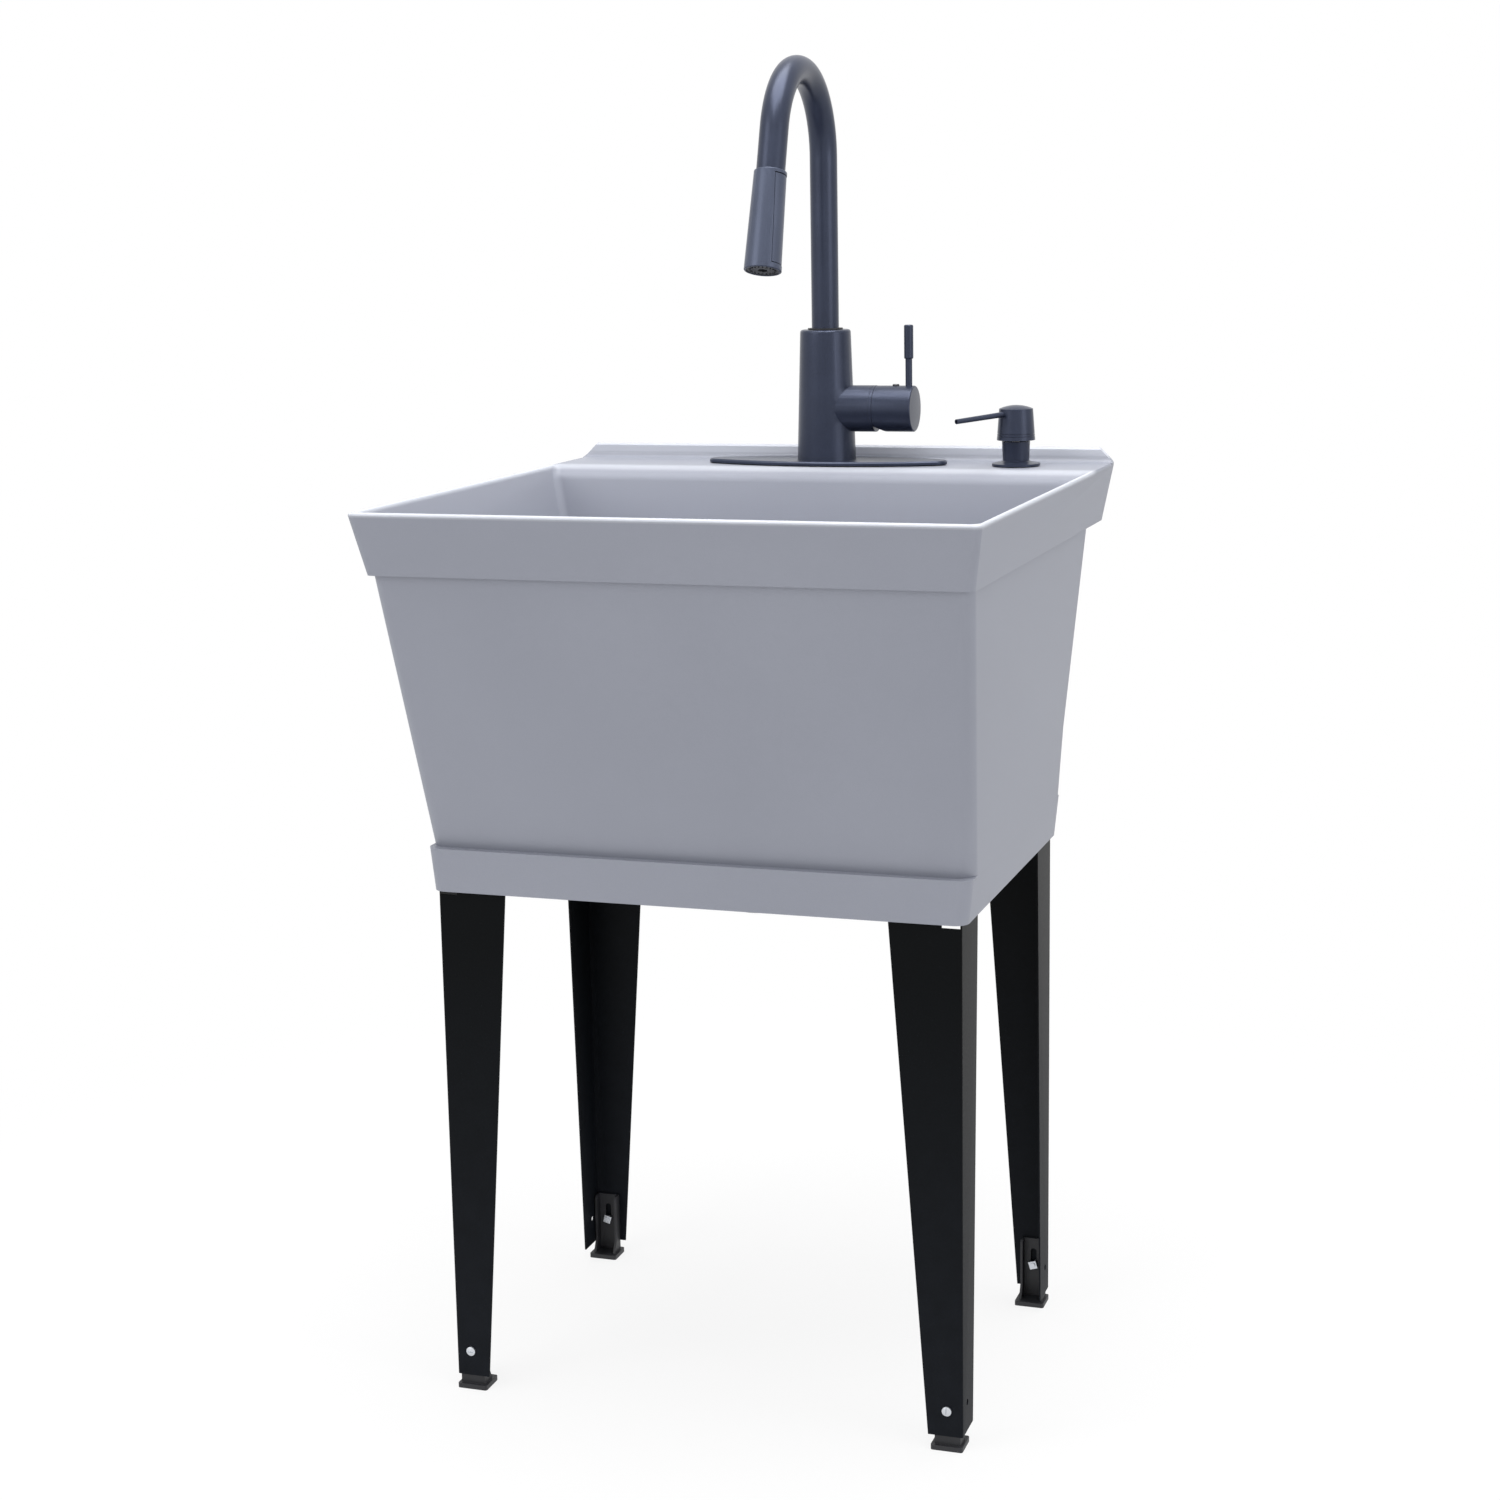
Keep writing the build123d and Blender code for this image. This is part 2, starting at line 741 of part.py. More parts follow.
def make_tailpiece_nut():
    seat = tail_top() - tail_flange_thick
    high = seat + tail_nut_grip
    low = seat - tail_nut_lip
    nut = Pos(0, 0, low) * extrude(RegularPolygon(tail_nut_radius, 8), high - low)
    nut = nut - rod_z(drain_thread_radius + thread_fit, seat, high + 1)
    return nut - rod_z(tail_shoulder_radius + thread_fit, low - 1, seat + 1)


# ---- faucet ----
def plate_outline(inset):
    # two long arcs closed by small round ends
    end = plate_end_radius - inset
    half = plate_length / 2 - inset
    high = plate_width / 2 - inset
    end_x = half - end
    big = (end_x ** 2 + high ** 2 - end ** 2) / (2 * (high - end))
    span = sqrt(end_x ** 2 + (big - high) ** 2)
    tx = end_x * big / span
    ty = (big - high) * big / span - (big - high)
    edges = [
        ThreePointArc((-tx, ty), (0, high), (tx, ty)),
        ThreePointArc((tx, ty), (half, 0), (tx, -ty)),
        ThreePointArc((tx, -ty), (0, -high), (-tx, -ty)),
        ThreePointArc((-tx, -ty), (-half, 0), (-tx, ty)),
    ]
    return make_face(edges)


def make_deck_plate_gasket():
    gasket = Pos(0, 0, rim_z) * extrude(plate_outline(plate_inset), plate_gasket)
    return gasket - rod_z(faucet_hole_radius, rim_z - 1, plate_top)


def make_deck_plate():
    plate = Pos(0, 0, rim_z + plate_gasket) * extrude(plate_outline(0), plate_thick)
    plate = chamfer(plate.faces().sort_by(Axis.Z)[-1].edges(), plate_edge)
    return plate - rod_z(shank_radius + slip_fit, rim_z, plate_top + 1)


def column_radius(z):
    return column_base_radius - (column_base_radius - column_top_radius) * (z - plate_top) / column_height


def bush_radius():
    return spout_radius + bush_wall


def bush_low():
    return column_top - bush_height - bush_floor


def make_faucet_body():
    edge_z = column_top - column_edge
    edge_r = column_radius(edge_z)
    turn = radians(45)
    middle = (edge_r - column_edge * (1 - cos(turn)), edge_z + column_edge * sin(turn))
    edges = [
        Line((0, plate_top), (column_base_radius, plate_top)),
        Line((column_base_radius, plate_top), (edge_r, edge_z)),
        ThreePointArc((edge_r, edge_z), middle, (edge_r - column_edge, column_top)),
        Line((edge_r - column_edge, column_top), (0, column_top)),
        Line((0, column_top), (0, plate_top)),
    ]
    body = revolve(Plane.XZ * make_face(edges), Axis.Z)
    body = body + rod_x(valve_radius, 0, valve_reach, 0, valve_z)
    body = body - rod_x(valve_cavity_radius, valve_cavity_start, valve_reach + 1, 0, valve_z)
    body = body - rod_z(bush_radius() + run_fit, bush_low() - bush_floor, column_top + 1)
    body = body - rod_z(hose_radius + hose_play, plate_top - 1, column_top)
    body = body - rod_z(shank_radius + thread_fit, plate_top - 1, plate_top + shank_socket)
    port_z = plate_top + shank_socket
    low = valve_z - gallery_below
    high = valve_z + gallery_above
    ports = [(inlet_x, -inlet_y, low), (-inlet_x, -inlet_y, high), (outlet_x, outlet_y, low)]
    for x, y, level in ports:
        body = body - rod_z(inlet_radius, port_z - 1, port_z + inlet_depth, x, y)
        body = body - rod_z(gallery_radius, port_z, level, x, y)
        body = body - rod_x(gallery_radius, x, valve_cavity_start + 1, y, level)
    keeper_z = column_top - keeper_from_top
    return body - rod_y(keeper_radius + thread_fit, 0, column_base_radius, 0, keeper_z)


def make_spout_keeper_screw():
    keeper_z = column_top - keeper_from_top
    tip = bush_radius() - keeper_groove + keeper_groove_play
    return rod_y(keeper_radius, tip, column_radius(keeper_z) - 1, 0, keeper_z)


def make_faucet_shank():
    high = plate_top + shank_socket
    return ring_z(shank_radius, shank_bore_radius, high - shank_length, high)


def make_faucet_rubber_washer():
    return ring_z(under_gasket_radius, shank_radius + thread_fit, deck_under - under_gasket_thick, deck_under)


def make_faucet_clamp_washer():
    high = deck_under - under_gasket_thick
    return ring_z(clamp_washer_radius, shank_radius + thread_fit, high - clamp_washer_thick, high)


def make_faucet_nut():
    high = deck_under - under_gasket_thick - clamp_washer_thick
    return hex_nut(mount_nut_flats, shank_radius + thread_fit, high - mount_nut_thick, high)


# ---- side valve and handle ----
def make_trim_ring():
    ring = rod_x(valve_radius, valve_reach, trim_x, 0, valve_z)
    return ring - rod_x(trim_bore_radius, valve_reach - 1, trim_x + 1, 0, valve_z)


def cartridge_front():
    return valve_cavity_start + cartridge_length


def make_cartridge():
    front = cartridge_front()
    body = rod_x(valve_cavity_radius - thread_fit, valve_cavity_start, front, 0, valve_z)
    body = body + rod_x(cartridge_boss_radius, front - 1, front + cartridge_boss, 0, valve_z)
    bore_start = front + cartridge_boss - carrier_shaft_depth - slip_fit
    return body - rod_x(carrier_shaft_radius + run_fit, bore_start, front + cartridge_boss + 1, 0, valve_z)


def make_cartridge_nut():
    front = cartridge_front()
    nut = rod_x(valve_cavity_radius - thread_fit, front, front + cartridge_nut_thick, 0, valve_z)
    end = front + cartridge_nut_thick
    return nut - rod_x(cartridge_boss_radius + thread_fit, front - 1, end + 1, 0, valve_z)


def make_handle_carrier():
    # the shaft turns in the cartridge for the mix; its head holds the tilt pin low down inside the hub
    start = cartridge_front() + cartridge_boss - carrier_shaft_depth
    back = pivot_x - carrier_head_before
    front = pivot_x + carrier_head_past
    carrier = rod_x(carrier_shaft_radius, start, front, 0, valve_z)
    carrier = carrier + rod_x(carrier_head_radius, back, front, 0, valve_z)
    side = stem_radius + slip_fit
    room = stem_arm_half + slip_fit
    far = 2 * hub_radius
    slot = block(pivot_x - room, pivot_x + far, -side, side, pivot_z - far, valve_z + side + slip_fit)
    slot = slot + rod_y(stem_eye_radius + slip_fit, -side, side, pivot_x, pivot_z)
    return carrier - slot - rod_y(pivot_pin_radius, -far, far, pivot_x, pivot_z)


def make_pivot_pin():
    return rod_y(pivot_pin_radius, -pivot_pin_length / 2, pivot_pin_length / 2, pivot_x, pivot_z)


def make_handle_stem():
    # an eye on the pin, an arm up to the valve's axis and a rod into the hub
    half = stem_arm_half
    side = stem_radius
    stem = rod_y(stem_eye_radius, -side, side, pivot_x, pivot_z)
    stem = stem + block(pivot_x - half, pivot_x + half, -side, side, pivot_z, valve_z)
    stem = stem + rod_x(stem_radius, pivot_x - half, pivot_x + stem_length, 0, valve_z)
    return stem - rod_y(pivot_pin_radius + run_fit, -side - 1, side + 1, pivot_x, pivot_z)


def lever_x():
    return hub_end - lever_from_end


def make_handle_hub():
    hub = rod_x(hub_radius, hub_start, hub_end, 0, valve_z)
    hub = fillet(hub.faces().sort_by(Axis.X)[-1].edges(), hub_edge)
    hub = hub - rod_x(hub_cavity_radius, hub_start - 1, pivot_x + hub_cavity_past, 0, valve_z)
    low = valve_z - hub_radius
    slope = hub_relief_height / hub_relief_length
    relief = Polyline((hub_start - 1, low + hub_relief_height + slope), (hub_start - 1, low - 1),
                      (hub_start + hub_relief_length + 1 / slope, low - 1), close=True)
    hub = hub - extrude(Plane.XZ * make_face(relief), hub_radius, both=True)
    hub = hub - rod_x(stem_radius + thread_fit, pivot_x, pivot_x + stem_length + slip_fit, 0, valve_z)
    seat = valve_z + hub_radius - lever_rod_seat
    hub = hub - rod_z(lever_rod_radius, seat, valve_z + hub_radius + 1, lever_x(), 0)
    index_x = trim_x + index_from_ring
    hub = hub - rod_z(index_radius, valve_z + hub_radius - index_seat, valve_z + hub_radius + 1, index_x, 0)
    return hub - rod_z(set_screw_radius, valve_z - hub_radius - 1, valve_z, lever_x(), 0)


def make_lever_rod():
    top = valve_z + hub_radius
    return rod_z(lever_rod_radius, top - lever_rod_seat, top + lever_rod_length + grip_seat, lever_x(), 0)


def make_lever_grip():
    low = valve_z + hub_radius + lever_rod_length
    grip = rod_z(grip_radius, low, low + grip_length, lever_x(), 0)
    grip = fillet(grip.edges().filter_by(GeomType.CIRCLE), grip_edge)
    return grip - rod_z(lever_rod_radius, low - 1, low + grip_seat, lever_x(), 0)


def make_index_plug():
    top = valve_z + hub_radius
    plug = rod_z(index_radius, top - index_seat, top + index_rise, trim_x + index_from_ring, 0)
    return chamfer(plug.faces().sort_by(Axis.Z)[-1].edges(), index_rise / 3)


def make_handle_set_screw():
    return rod_z(set_screw_radius, valve_z - hub_radius + 1, valve_z - stem_radius, lever_x(), 0)


# ---- spout ----
def spout_path(lead_in, low):
    # down the drop, round the arc and down the column, in the plane x = 0
    start = (arc_end_y + lead_in * drop_y, arc_end_z + lead_in * drop_z)
    half = radians(arc_sweep / 2)
    middle = (arc_y + arc_radius * cos(half), arc_z + arc_radius * sin(half))
    edges = [
        Line((faucet_y, low), (faucet_y, arc_z)),
        ThreePointArc((faucet_y, arc_z), middle, (arc_end_y, arc_end_z)),
        Line((arc_end_y, arc_end_z), start),
    ]
    return Plane.YZ * Wire(edges)


def bent_tube(outer, inner, lead_in, low):
    path = spout_path(lead_in, low)
    section = Pos(0, faucet_y, low) * (Circle(outer) - Circle(inner))
    return sweep(section, path=path)


def make_spout_tube():
    return bent_tube(spout_radius, spout_radius - spout_wall, spout_drop, bush_low())


def o_ring_heights():
    low = bush_low() + o_ring_inset
    return [low + i * o_ring_pitch for i in range(o_ring_count)]


def make_spout_bush():
    bush = ring_z(bush_radius(), spout_radius, bush_low(), bush_low() + bush_height)
    seat = bush_radius() + run_fit - 2 * o_ring_radius
    for z in o_ring_heights():
        half = o_ring_radius + thread_fit
        bush = bush - ring_z(bush_radius() + 1, seat, z - half, z + half)
    keeper_z = column_top - keeper_from_top
    half = keeper_radius + keeper_groove_play
    return bush - ring_z(bush_radius() + 1, bush_radius() - keeper_groove, keeper_z - half, keeper_z + half)


def make_spout_o_rings():
    ring_radius = bush_radius() + run_fit - o_ring_radius - thread_fit / 2
    rings = [Pos(0, 0, z) * Torus(ring_radius, o_ring_radius - thread_fit / 2) for z in o_ring_heights()]
    return Compound(rings)


def make_glide_ring():
    low = column_top + slip_fit
    return ring_z(glide_radius, spout_radius, low, low + glide_height)


def make_spout_dock():
    outer = spout_radius - spout_wall
    return ring_z(outer, outer - dock_wall, 0, dock_length)


# ---- spray head ----
def head_cone(grow, z0, z1):
    # a slice of the head's cone between two heights below the dock, grown or shrunk by an amount
    slope = (head_bottom_radius - head_top_radius) / head_length
    high = Pos(0, 0, -z0) * Circle(head_top_radius + slope * z0 + grow)
    low = Pos(0, 0, -z1) * Circle(head_top_radius + slope * z1 + grow)
    return loft([low, high], ruled=True)


def rocker_middle():
    return head_length / 2


def rocker_frame():
    # x outwards at the strip's middle, y along its pin
    return Rot(0, 0, rocker_azimuth - 90)


def rocker_box(inset, root):
    # the strip keeps one width from top to bottom
    half = rocker_pocket_half - inset
    return block(root, 2 * head_bottom_radius, -half, half,
                 -head_length + rocker_bottom + inset, -rocker_top - inset)


def make_spray_shell():
    shell = head_cone(0, slip_fit, head_length)
    shell = fillet(shell.faces().sort_by(Axis.Z)[-1].edges(), head_edge)
    shell = fillet(shell.faces().sort_by(Axis.Z)[0].edges(), head_edge)
    shell = shell - rod_z(waterway_radius + thread_fit, -head_length - 1, 1)
    shell = shell - rod_z(face_radius + thread_fit, -head_length - 1, -head_length + face_thick + face_recess)
    shell = shell - rod_z(aerator_radius + 1, -head_length - 1, -head_length + aerator_thick + face_recess)
    deep = rocker_sunk + rocker_thick + rocker_gap
    pocket = head_cone(deep, 0, head_length) - head_cone(-deep, 0, head_length)
    shell = shell - (pocket & rocker_frame() * rocker_box(0, rocker_root))
    z = -rocker_middle()
    lug = rocker_lug_half + slip_fit
    room = block(rocker_pin_in - rocker_pin_radius - slip_fit, head_bottom_radius, -lug, lug, z - lug, z + lug)
    bore = rod_y(rocker_pin_radius + run_fit, -rocker_pin_half - slip_fit, rocker_pin_half + slip_fit,
                 rocker_pin_in, z)
    reach = rocker_pin_half + slip_fit
    mouth = block(rocker_pin_in, head_bottom_radius, -reach, reach,
                  z - rocker_pin_radius - run_fit, z + rocker_pin_radius + run_fit)
    return shell - rocker_frame() * (room + bore + mouth)


def make_spray_rocker():
    plate = head_cone(-rocker_sunk, 0, head_length) - head_cone(-rocker_sunk - rocker_thick, 0, head_length)
    plate = plate & rocker_frame() * rocker_box(rocker_play, rocker_root + rocker_gap)
    z = -rocker_middle()
    half = rocker_lug_half
    skin = head_top_radius - rocker_sunk
    lug = block(rocker_pin_in, skin, -half, half, z - rocker_pin_radius, z + rocker_pin_radius)
    pin = rod_y(rocker_pin_radius, -rocker_pin_half, rocker_pin_half, rocker_pin_in, z)
    return plate + rocker_frame() * (lug + pin)


def make_waterway():
    low = -head_length + aerator_thick + face_recess
    neck = spout_radius - spout_wall - dock_wall - dock_neck_play
    pipe = rod_z(waterway_radius, low, slip_fit) + rod_z(neck, slip_fit, dock_neck_length)
    return pipe - rod_z(waterway_radius - waterway_wall, low - 1, dock_neck_length + 1)


def make_hose_connector():
    bore = waterway_radius - waterway_wall
    seat = dock_neck_length
    body = rod_z(bore - thread_fit, seat - connector_length, seat)
    body = body + rod_z(connector_radius, seat, seat + connector_length)
    return body - rod_z(hose_radius - hose_wall, 0, seat + connector_length + 1)


def make_spray_face():
    low = -head_length + face_recess
    face = ring_z(face_radius, aerator_radius + thread_fit, low, low + face_thick)
    for i in range(nub_count):
        turn = radians(360 * i / nub_count)
        face = face + rod_z(nub_radius, low - nub_height, low + 1, nub_ring * cos(turn), nub_ring * sin(turn))
    return face


def make_aerator():
    low = -head_length + face_recess
    cell = rod_z(aerator_radius, low, low + aerator_thick)
    return cell - rod_z(waterway_radius - waterway_wall - 1, low - 1, low + 2)


def make_spray_hose():
    lead = spout_drop - dock_neck_length - connector_length
    low = plate_top + shank_socket - shank_length
    return bent_tube(hose_radius, hose_radius - hose_wall, lead, low)


# ---- soap pump ----
def soap_flange_low():
    return rim_z + soap_gasket_thick


def soap_neck_top():
    return rim_z + soap_neck_height


def make_soap_gasket():
    return ring_z(soap_flange_radius - 1, soap_shank_radius + slip_fit, rim_z, soap_flange_low())


def make_soap_collar():
    z0 = soap_flange_low()
    z1 = z0 + soap_flange_thick
    z2 = z1 + soap_flange_cone
    low = z0 - soap_shank_length
    collar = turned([(soap_bore_radius + thread_fit, low), (soap_shank_radius, low), (soap_shank_radius, z0),
                     (soap_flange_radius, z0), (soap_flange_radius, z1), (soap_neck_radius + 2, z2),
                     (soap_neck_radius, z2 + 1), (soap_neck_top_radius, soap_neck_top()),
                     (soap_bore_radius + thread_fit, soap_neck_top())])
    return collar


def make_soap_nut():
    nut = ring_z(soap_nut_radius, soap_shank_radius + thread_fit, deck_under - soap_nut_thick, deck_under)
    for i in range(soap_nut_notches):
        notch = rod_z(soap_nut_notch, deck_under - soap_nut_thick - 1, deck_under - 2,
                      soap_nut_radius + soap_nut_notch / 2, 0)
        nut = nut - Rot(0, 0, 360 * i / soap_nut_notches) * notch
    return nut


def make_soap_bottle():
    high = deck_under - soap_nut_thick - slip_fit
    neck_low = high - bottle_neck_height
    neck_r = soap_shank_radius + bottle_neck_wall
    low = high - bottle_height
    shoulder = neck_low - bottle_shoulder
    w = bottle_wall
    outer = [(0, low), (bottle_radius, low), (bottle_radius, shoulder),
             (neck_r, neck_low), (neck_r, high), (0, high)]
    throat = soap_shank_radius + thread_fit
    inner = [(0, low + w), (bottle_radius - w, low + w), (bottle_radius - w, shoulder - w),
             (throat, neck_low - w), (throat, high + 1), (0, high + 1)]
    return turned(outer) - turned(inner)


def pump_top():
    return soap_neck_top() - pump_sunk


def pump_low():
    return pump_top() - pump_length


def pump_bore():
    return soap_bore_radius - pump_wall


def make_pump_cylinder():
    high = pump_top()
    low = pump_low()
    tip = low - pump_spigot
    pump = rod_z(soap_bore_radius, low, high) + rod_z(pump_spigot_radius, tip, low + 1)
    pump = pump - rod_z(pump_bore(), low + pump_floor, high - pump_cap)
    pump = pump - rod_z(pump_stem_radius + run_fit, high - pump_cap - 1, high + 1)
    return pump - rod_z(pump_spigot_radius - dip_wall, tip - 1, low + pump_floor + 1)


def piston_low():
    return pump_low() + pump_floor + piston_from_floor


def make_pump_spring():
    outer = pump_bore() - spring_play
    return ring_z(outer, outer - spring_wire, pump_low() + pump_floor, piston_low())


def make_dip_tube():
    high = pump_low() - pump_spigot + dip_overlap
    return ring_z(pump_spigot_radius + dip_wall, pump_spigot_radius, high - dip_length, high)


def make_pump_stem():
    low = piston_low()
    top = rim_z + stem_top_above_deck
    stem = rod_z(pump_stem_radius, low, top)
    stem = stem + rod_z(pump_bore() - run_fit, low, low + piston_thick)
    return stem - rod_z(pump_spigot_radius, low - 1, top + 1)


def soap_head_low():
    return soap_neck_top() + soap_head_gap


def make_soap_head():
    z0 = soap_head_low()
    z1 = z0 + soap_head_height
    slope = (soap_head_radius - soap_head_top_radius) / soap_head_height
    skirt_face = Pos(0, 0, z0) * Circle(soap_head_radius)
    head = loft([skirt_face, Pos(0, 0, z1) * Circle(soap_head_top_radius)], ruled=True)
    dome = dome_radius(soap_head_top_radius, soap_head_crown)
    cap = Pos(0, 0, z1 + soap_head_crown - dome) * Sphere(dome)
    head = head + (cap & rod_z(soap_head_top_radius, z1 - 1, z1 + dome))
    head = head - rod_z(soap_head_radius - soap_head_wall, z0 - 1, z0 + soap_head_cavity)
    for i in range(soap_groove_count):
        z = z0 + soap_groove_first + i * soap_groove_pitch
        r = soap_head_radius - slope * (z - z0)
        head = head - ring_z(r + 1, r - soap_groove, z - soap_groove / 2, z + soap_groove / 2)
    head = head - rod_z(pump_stem_radius + run_fit, z0, rim_z + stem_top_above_deck + slip_fit)
    return head - nozzle_shape(nozzle_root_radius, nozzle_tip_radius)


def nozzle_shape(root, tip):
    low = Pos(0, 0, nozzle_inset) * Circle(root)
    high = Pos(0, 0, nozzle_reach) * Circle(tip)
    spike = loft([low, high], ruled=True)
    aim = Rot(0, 0, -nozzle_turn) * Rot(90 + nozzle_droop, 0, 0)
    return Pos(0, 0, soap_head_low() + nozzle_height) * aim * spike


def make_soap_nozzle():
    bore = nozzle_shape(nozzle_bore_radius, nozzle_bore_radius)
    return nozzle_shape(nozzle_root_radius, nozzle_tip_radius) - bore


# ---- write every piece ----
def save(name, shape):
    export_step(shape, "parts/" + name + ".step")


def at_corners(shape):
    return [to_corner(shape, right, front) for right, front in corners()]


save("tub", make_tub())
leg_names = ["front_right", "front_left", "back_right", "back_left"]
for name, shape in zip(leg_names, at_corners(make_leg())):
    save("leg_" + name, shape)
for name, shape in zip(leg_names, at_corners(make_foot())):
    save("foot_" + name, shape)
foot_screws = [to_corner(make_foot_screw(angle), right, front)
               for angle, (right, front) in zip(screw_slot_turns, corners())]
save("foot_screws", Compound(foot_screws))
save("foot_nuts", Compound(at_corners(make_foot_nut())))

save("drain_body", drain_place * make_drain_body())
save("drain_gasket", drain_place * make_drain_gasket())
save("drain_locknut", drain_place * make_drain_locknut())
save("drain_basket", drain_place * make_drain_basket())
save("drain_stopper", drain_place * make_drain_stopper())
save("tailpiece_washer", drain_place * make_tailpiece_washer())
save("tailpiece", drain_place * make_tailpiece())
save("tailpiece_nut", drain_place * make_tailpiece_nut())

save("deck_plate_gasket", faucet_place * make_deck_plate_gasket())
save("deck_plate", faucet_place * make_deck_plate())
save("faucet_body", faucet_place * make_faucet_body())
save("spout_keeper_screw", faucet_place * make_spout_keeper_screw())
save("faucet_shank", faucet_place * make_faucet_shank())
save("faucet_rubber_washer", faucet_place * make_faucet_rubber_washer())
save("faucet_clamp_washer", faucet_place * make_faucet_clamp_washer())
save("faucet_mounting_nut", faucet_place * make_faucet_nut())

save("valve_trim_ring", faucet_place * make_trim_ring())
save("cartridge", faucet_place * make_cartridge())
save("cartridge_nut", faucet_place * make_cartridge_nut())
save("handle_carrier", faucet_place * make_handle_carrier())
save("handle_pivot_pin", faucet_place * make_pivot_pin())
save("handle_stem", faucet_place * make_handle_stem())
save("handle_hub", faucet_place * make_handle_hub())
save("lever_rod", faucet_place * make_lever_rod())
save("lever_grip", faucet_place * make_lever_grip())
save("index_plug", faucet_place * make_index_plug())
save("handle_set_screw", faucet_place * make_handle_set_screw())

save("spout_tube", make_spout_tube())
save("spout_bush", faucet_place * make_spout_bush())
save("spout_o_rings", faucet_place * make_spout_o_rings())
save("spout_glide_ring", faucet_place * make_glide_ring())
save("spout_docking_sleeve", head_place * make_spout_dock())
save("spray_shell", head_place * make_spray_shell())
save("spray_rocker", head_place * make_spray_rocker())
save("spray_waterway", head_place * make_waterway())
save("spray_hose_connector", head_place * make_hose_connector())
save("spray_face", head_place * make_spray_face())
save("aerator", head_place * make_aerator())
save("spray_hose", make_spray_hose())

save("soap_gasket", soap_place * make_soap_gasket())
save("soap_collar", soap_place * make_soap_collar())
save("soap_nut", soap_place * make_soap_nut())
save("soap_bottle", soap_place * make_soap_bottle())
save("soap_pump_cylinder", soap_place * make_pump_cylinder())
save("soap_spring", soap_place * make_pump_spring())
save("soap_dip_tube", soap_place * make_dip_tube())
save("soap_pump_stem", soap_place * make_pump_stem())
save("soap_head", soap_place * make_soap_head())
save("soap_nozzle", soap_place * make_soap_nozzle())
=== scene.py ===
# %% [markdown]
# # Utility laundry sink
# A deep grey plastic tub on four folded steel legs, with a gooseneck faucet and a soap pump.
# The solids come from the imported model. This script gives them their finishes, adds the fine
# pieces that solids are clumsy for (soft edges, braided hose, coil spring, threaded shank), and
# lights the whole.

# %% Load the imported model
import json
from math import cos, pi, radians, sin, tau

import bmesh
import bpy
from mathutils import Matrix, Vector


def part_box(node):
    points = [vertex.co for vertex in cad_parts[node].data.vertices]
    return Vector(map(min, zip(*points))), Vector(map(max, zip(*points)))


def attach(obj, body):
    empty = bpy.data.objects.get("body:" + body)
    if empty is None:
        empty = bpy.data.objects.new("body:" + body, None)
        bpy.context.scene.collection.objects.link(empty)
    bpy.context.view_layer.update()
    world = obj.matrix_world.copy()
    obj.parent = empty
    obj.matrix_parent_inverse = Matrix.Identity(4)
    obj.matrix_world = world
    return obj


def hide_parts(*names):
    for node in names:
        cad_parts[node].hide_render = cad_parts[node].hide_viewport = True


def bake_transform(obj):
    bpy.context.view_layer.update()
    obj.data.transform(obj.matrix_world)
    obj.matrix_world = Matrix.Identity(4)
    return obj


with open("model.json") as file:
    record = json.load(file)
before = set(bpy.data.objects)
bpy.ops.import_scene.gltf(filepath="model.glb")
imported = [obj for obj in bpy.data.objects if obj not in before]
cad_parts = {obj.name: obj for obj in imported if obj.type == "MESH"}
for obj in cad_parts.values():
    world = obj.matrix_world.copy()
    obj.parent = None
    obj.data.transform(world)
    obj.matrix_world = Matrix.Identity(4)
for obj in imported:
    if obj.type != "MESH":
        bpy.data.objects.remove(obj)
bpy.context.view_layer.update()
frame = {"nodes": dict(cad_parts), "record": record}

nodes = frame["nodes"]

# %% [markdown]
# ## Camera
# The picture was taken from the right of the middle and a little above the rim, with a lens a
# little longer than a standard one.
# A camera is fixed by where it stands, three directions and a focal length. The directions are
# worked out from an azimuth, a pitch and a small roll, because these three read like a tripod's.

# %% Camera
AZIMUTH, PITCH, ROLL = radians(18.73), radians(11.07), radians(-1.03)
STAND = Vector((0.80726, -2.43655, 1.11415))
FOCAL_PIXELS, PICTURE = 2678.3, 1500
CENTRE_X, CENTRE_Y = 742.8, 743.95


def camera_axes():
    ahead = Vector((-sin(AZIMUTH) * cos(PITCH), cos(AZIMUTH) * cos(PITCH), -sin(PITCH)))
    level = Vector((cos(AZIMUTH), sin(AZIMUTH), 0))
    up = level.cross(ahead)
    right = cos(ROLL) * level + sin(ROLL) * up
    return right, -sin(ROLL) * level + cos(ROLL) * up, ahead


right, up, ahead = camera_axes()
lens = bpy.data.cameras.new("camera")
lens.sensor_width = 36
lens.lens = FOCAL_PIXELS * lens.sensor_width / PICTURE
lens.shift_x = (PICTURE / 2 - CENTRE_X) / PICTURE
lens.shift_y = (CENTRE_Y - PICTURE / 2) / PICTURE
camera = bpy.data.objects.new("camera", lens)
camera.matrix_world = Matrix.Translation(STAND) @ Matrix((right, up, -ahead)).transposed().to_4x4()
bpy.context.scene.collection.objects.link(camera)
bpy.context.scene.camera = camera
print("lens:", round(lens.lens, 2), "mm, shift:", round(lens.shift_x, 4), round(lens.shift_y, 4))

# %% [markdown]
# ## A small language for finishes
# A finish is a tree of shader nodes. Written out node by node it is long and hard to read, so one
# class wraps an output socket. Sums on it add Math nodes, and any other node comes from node().

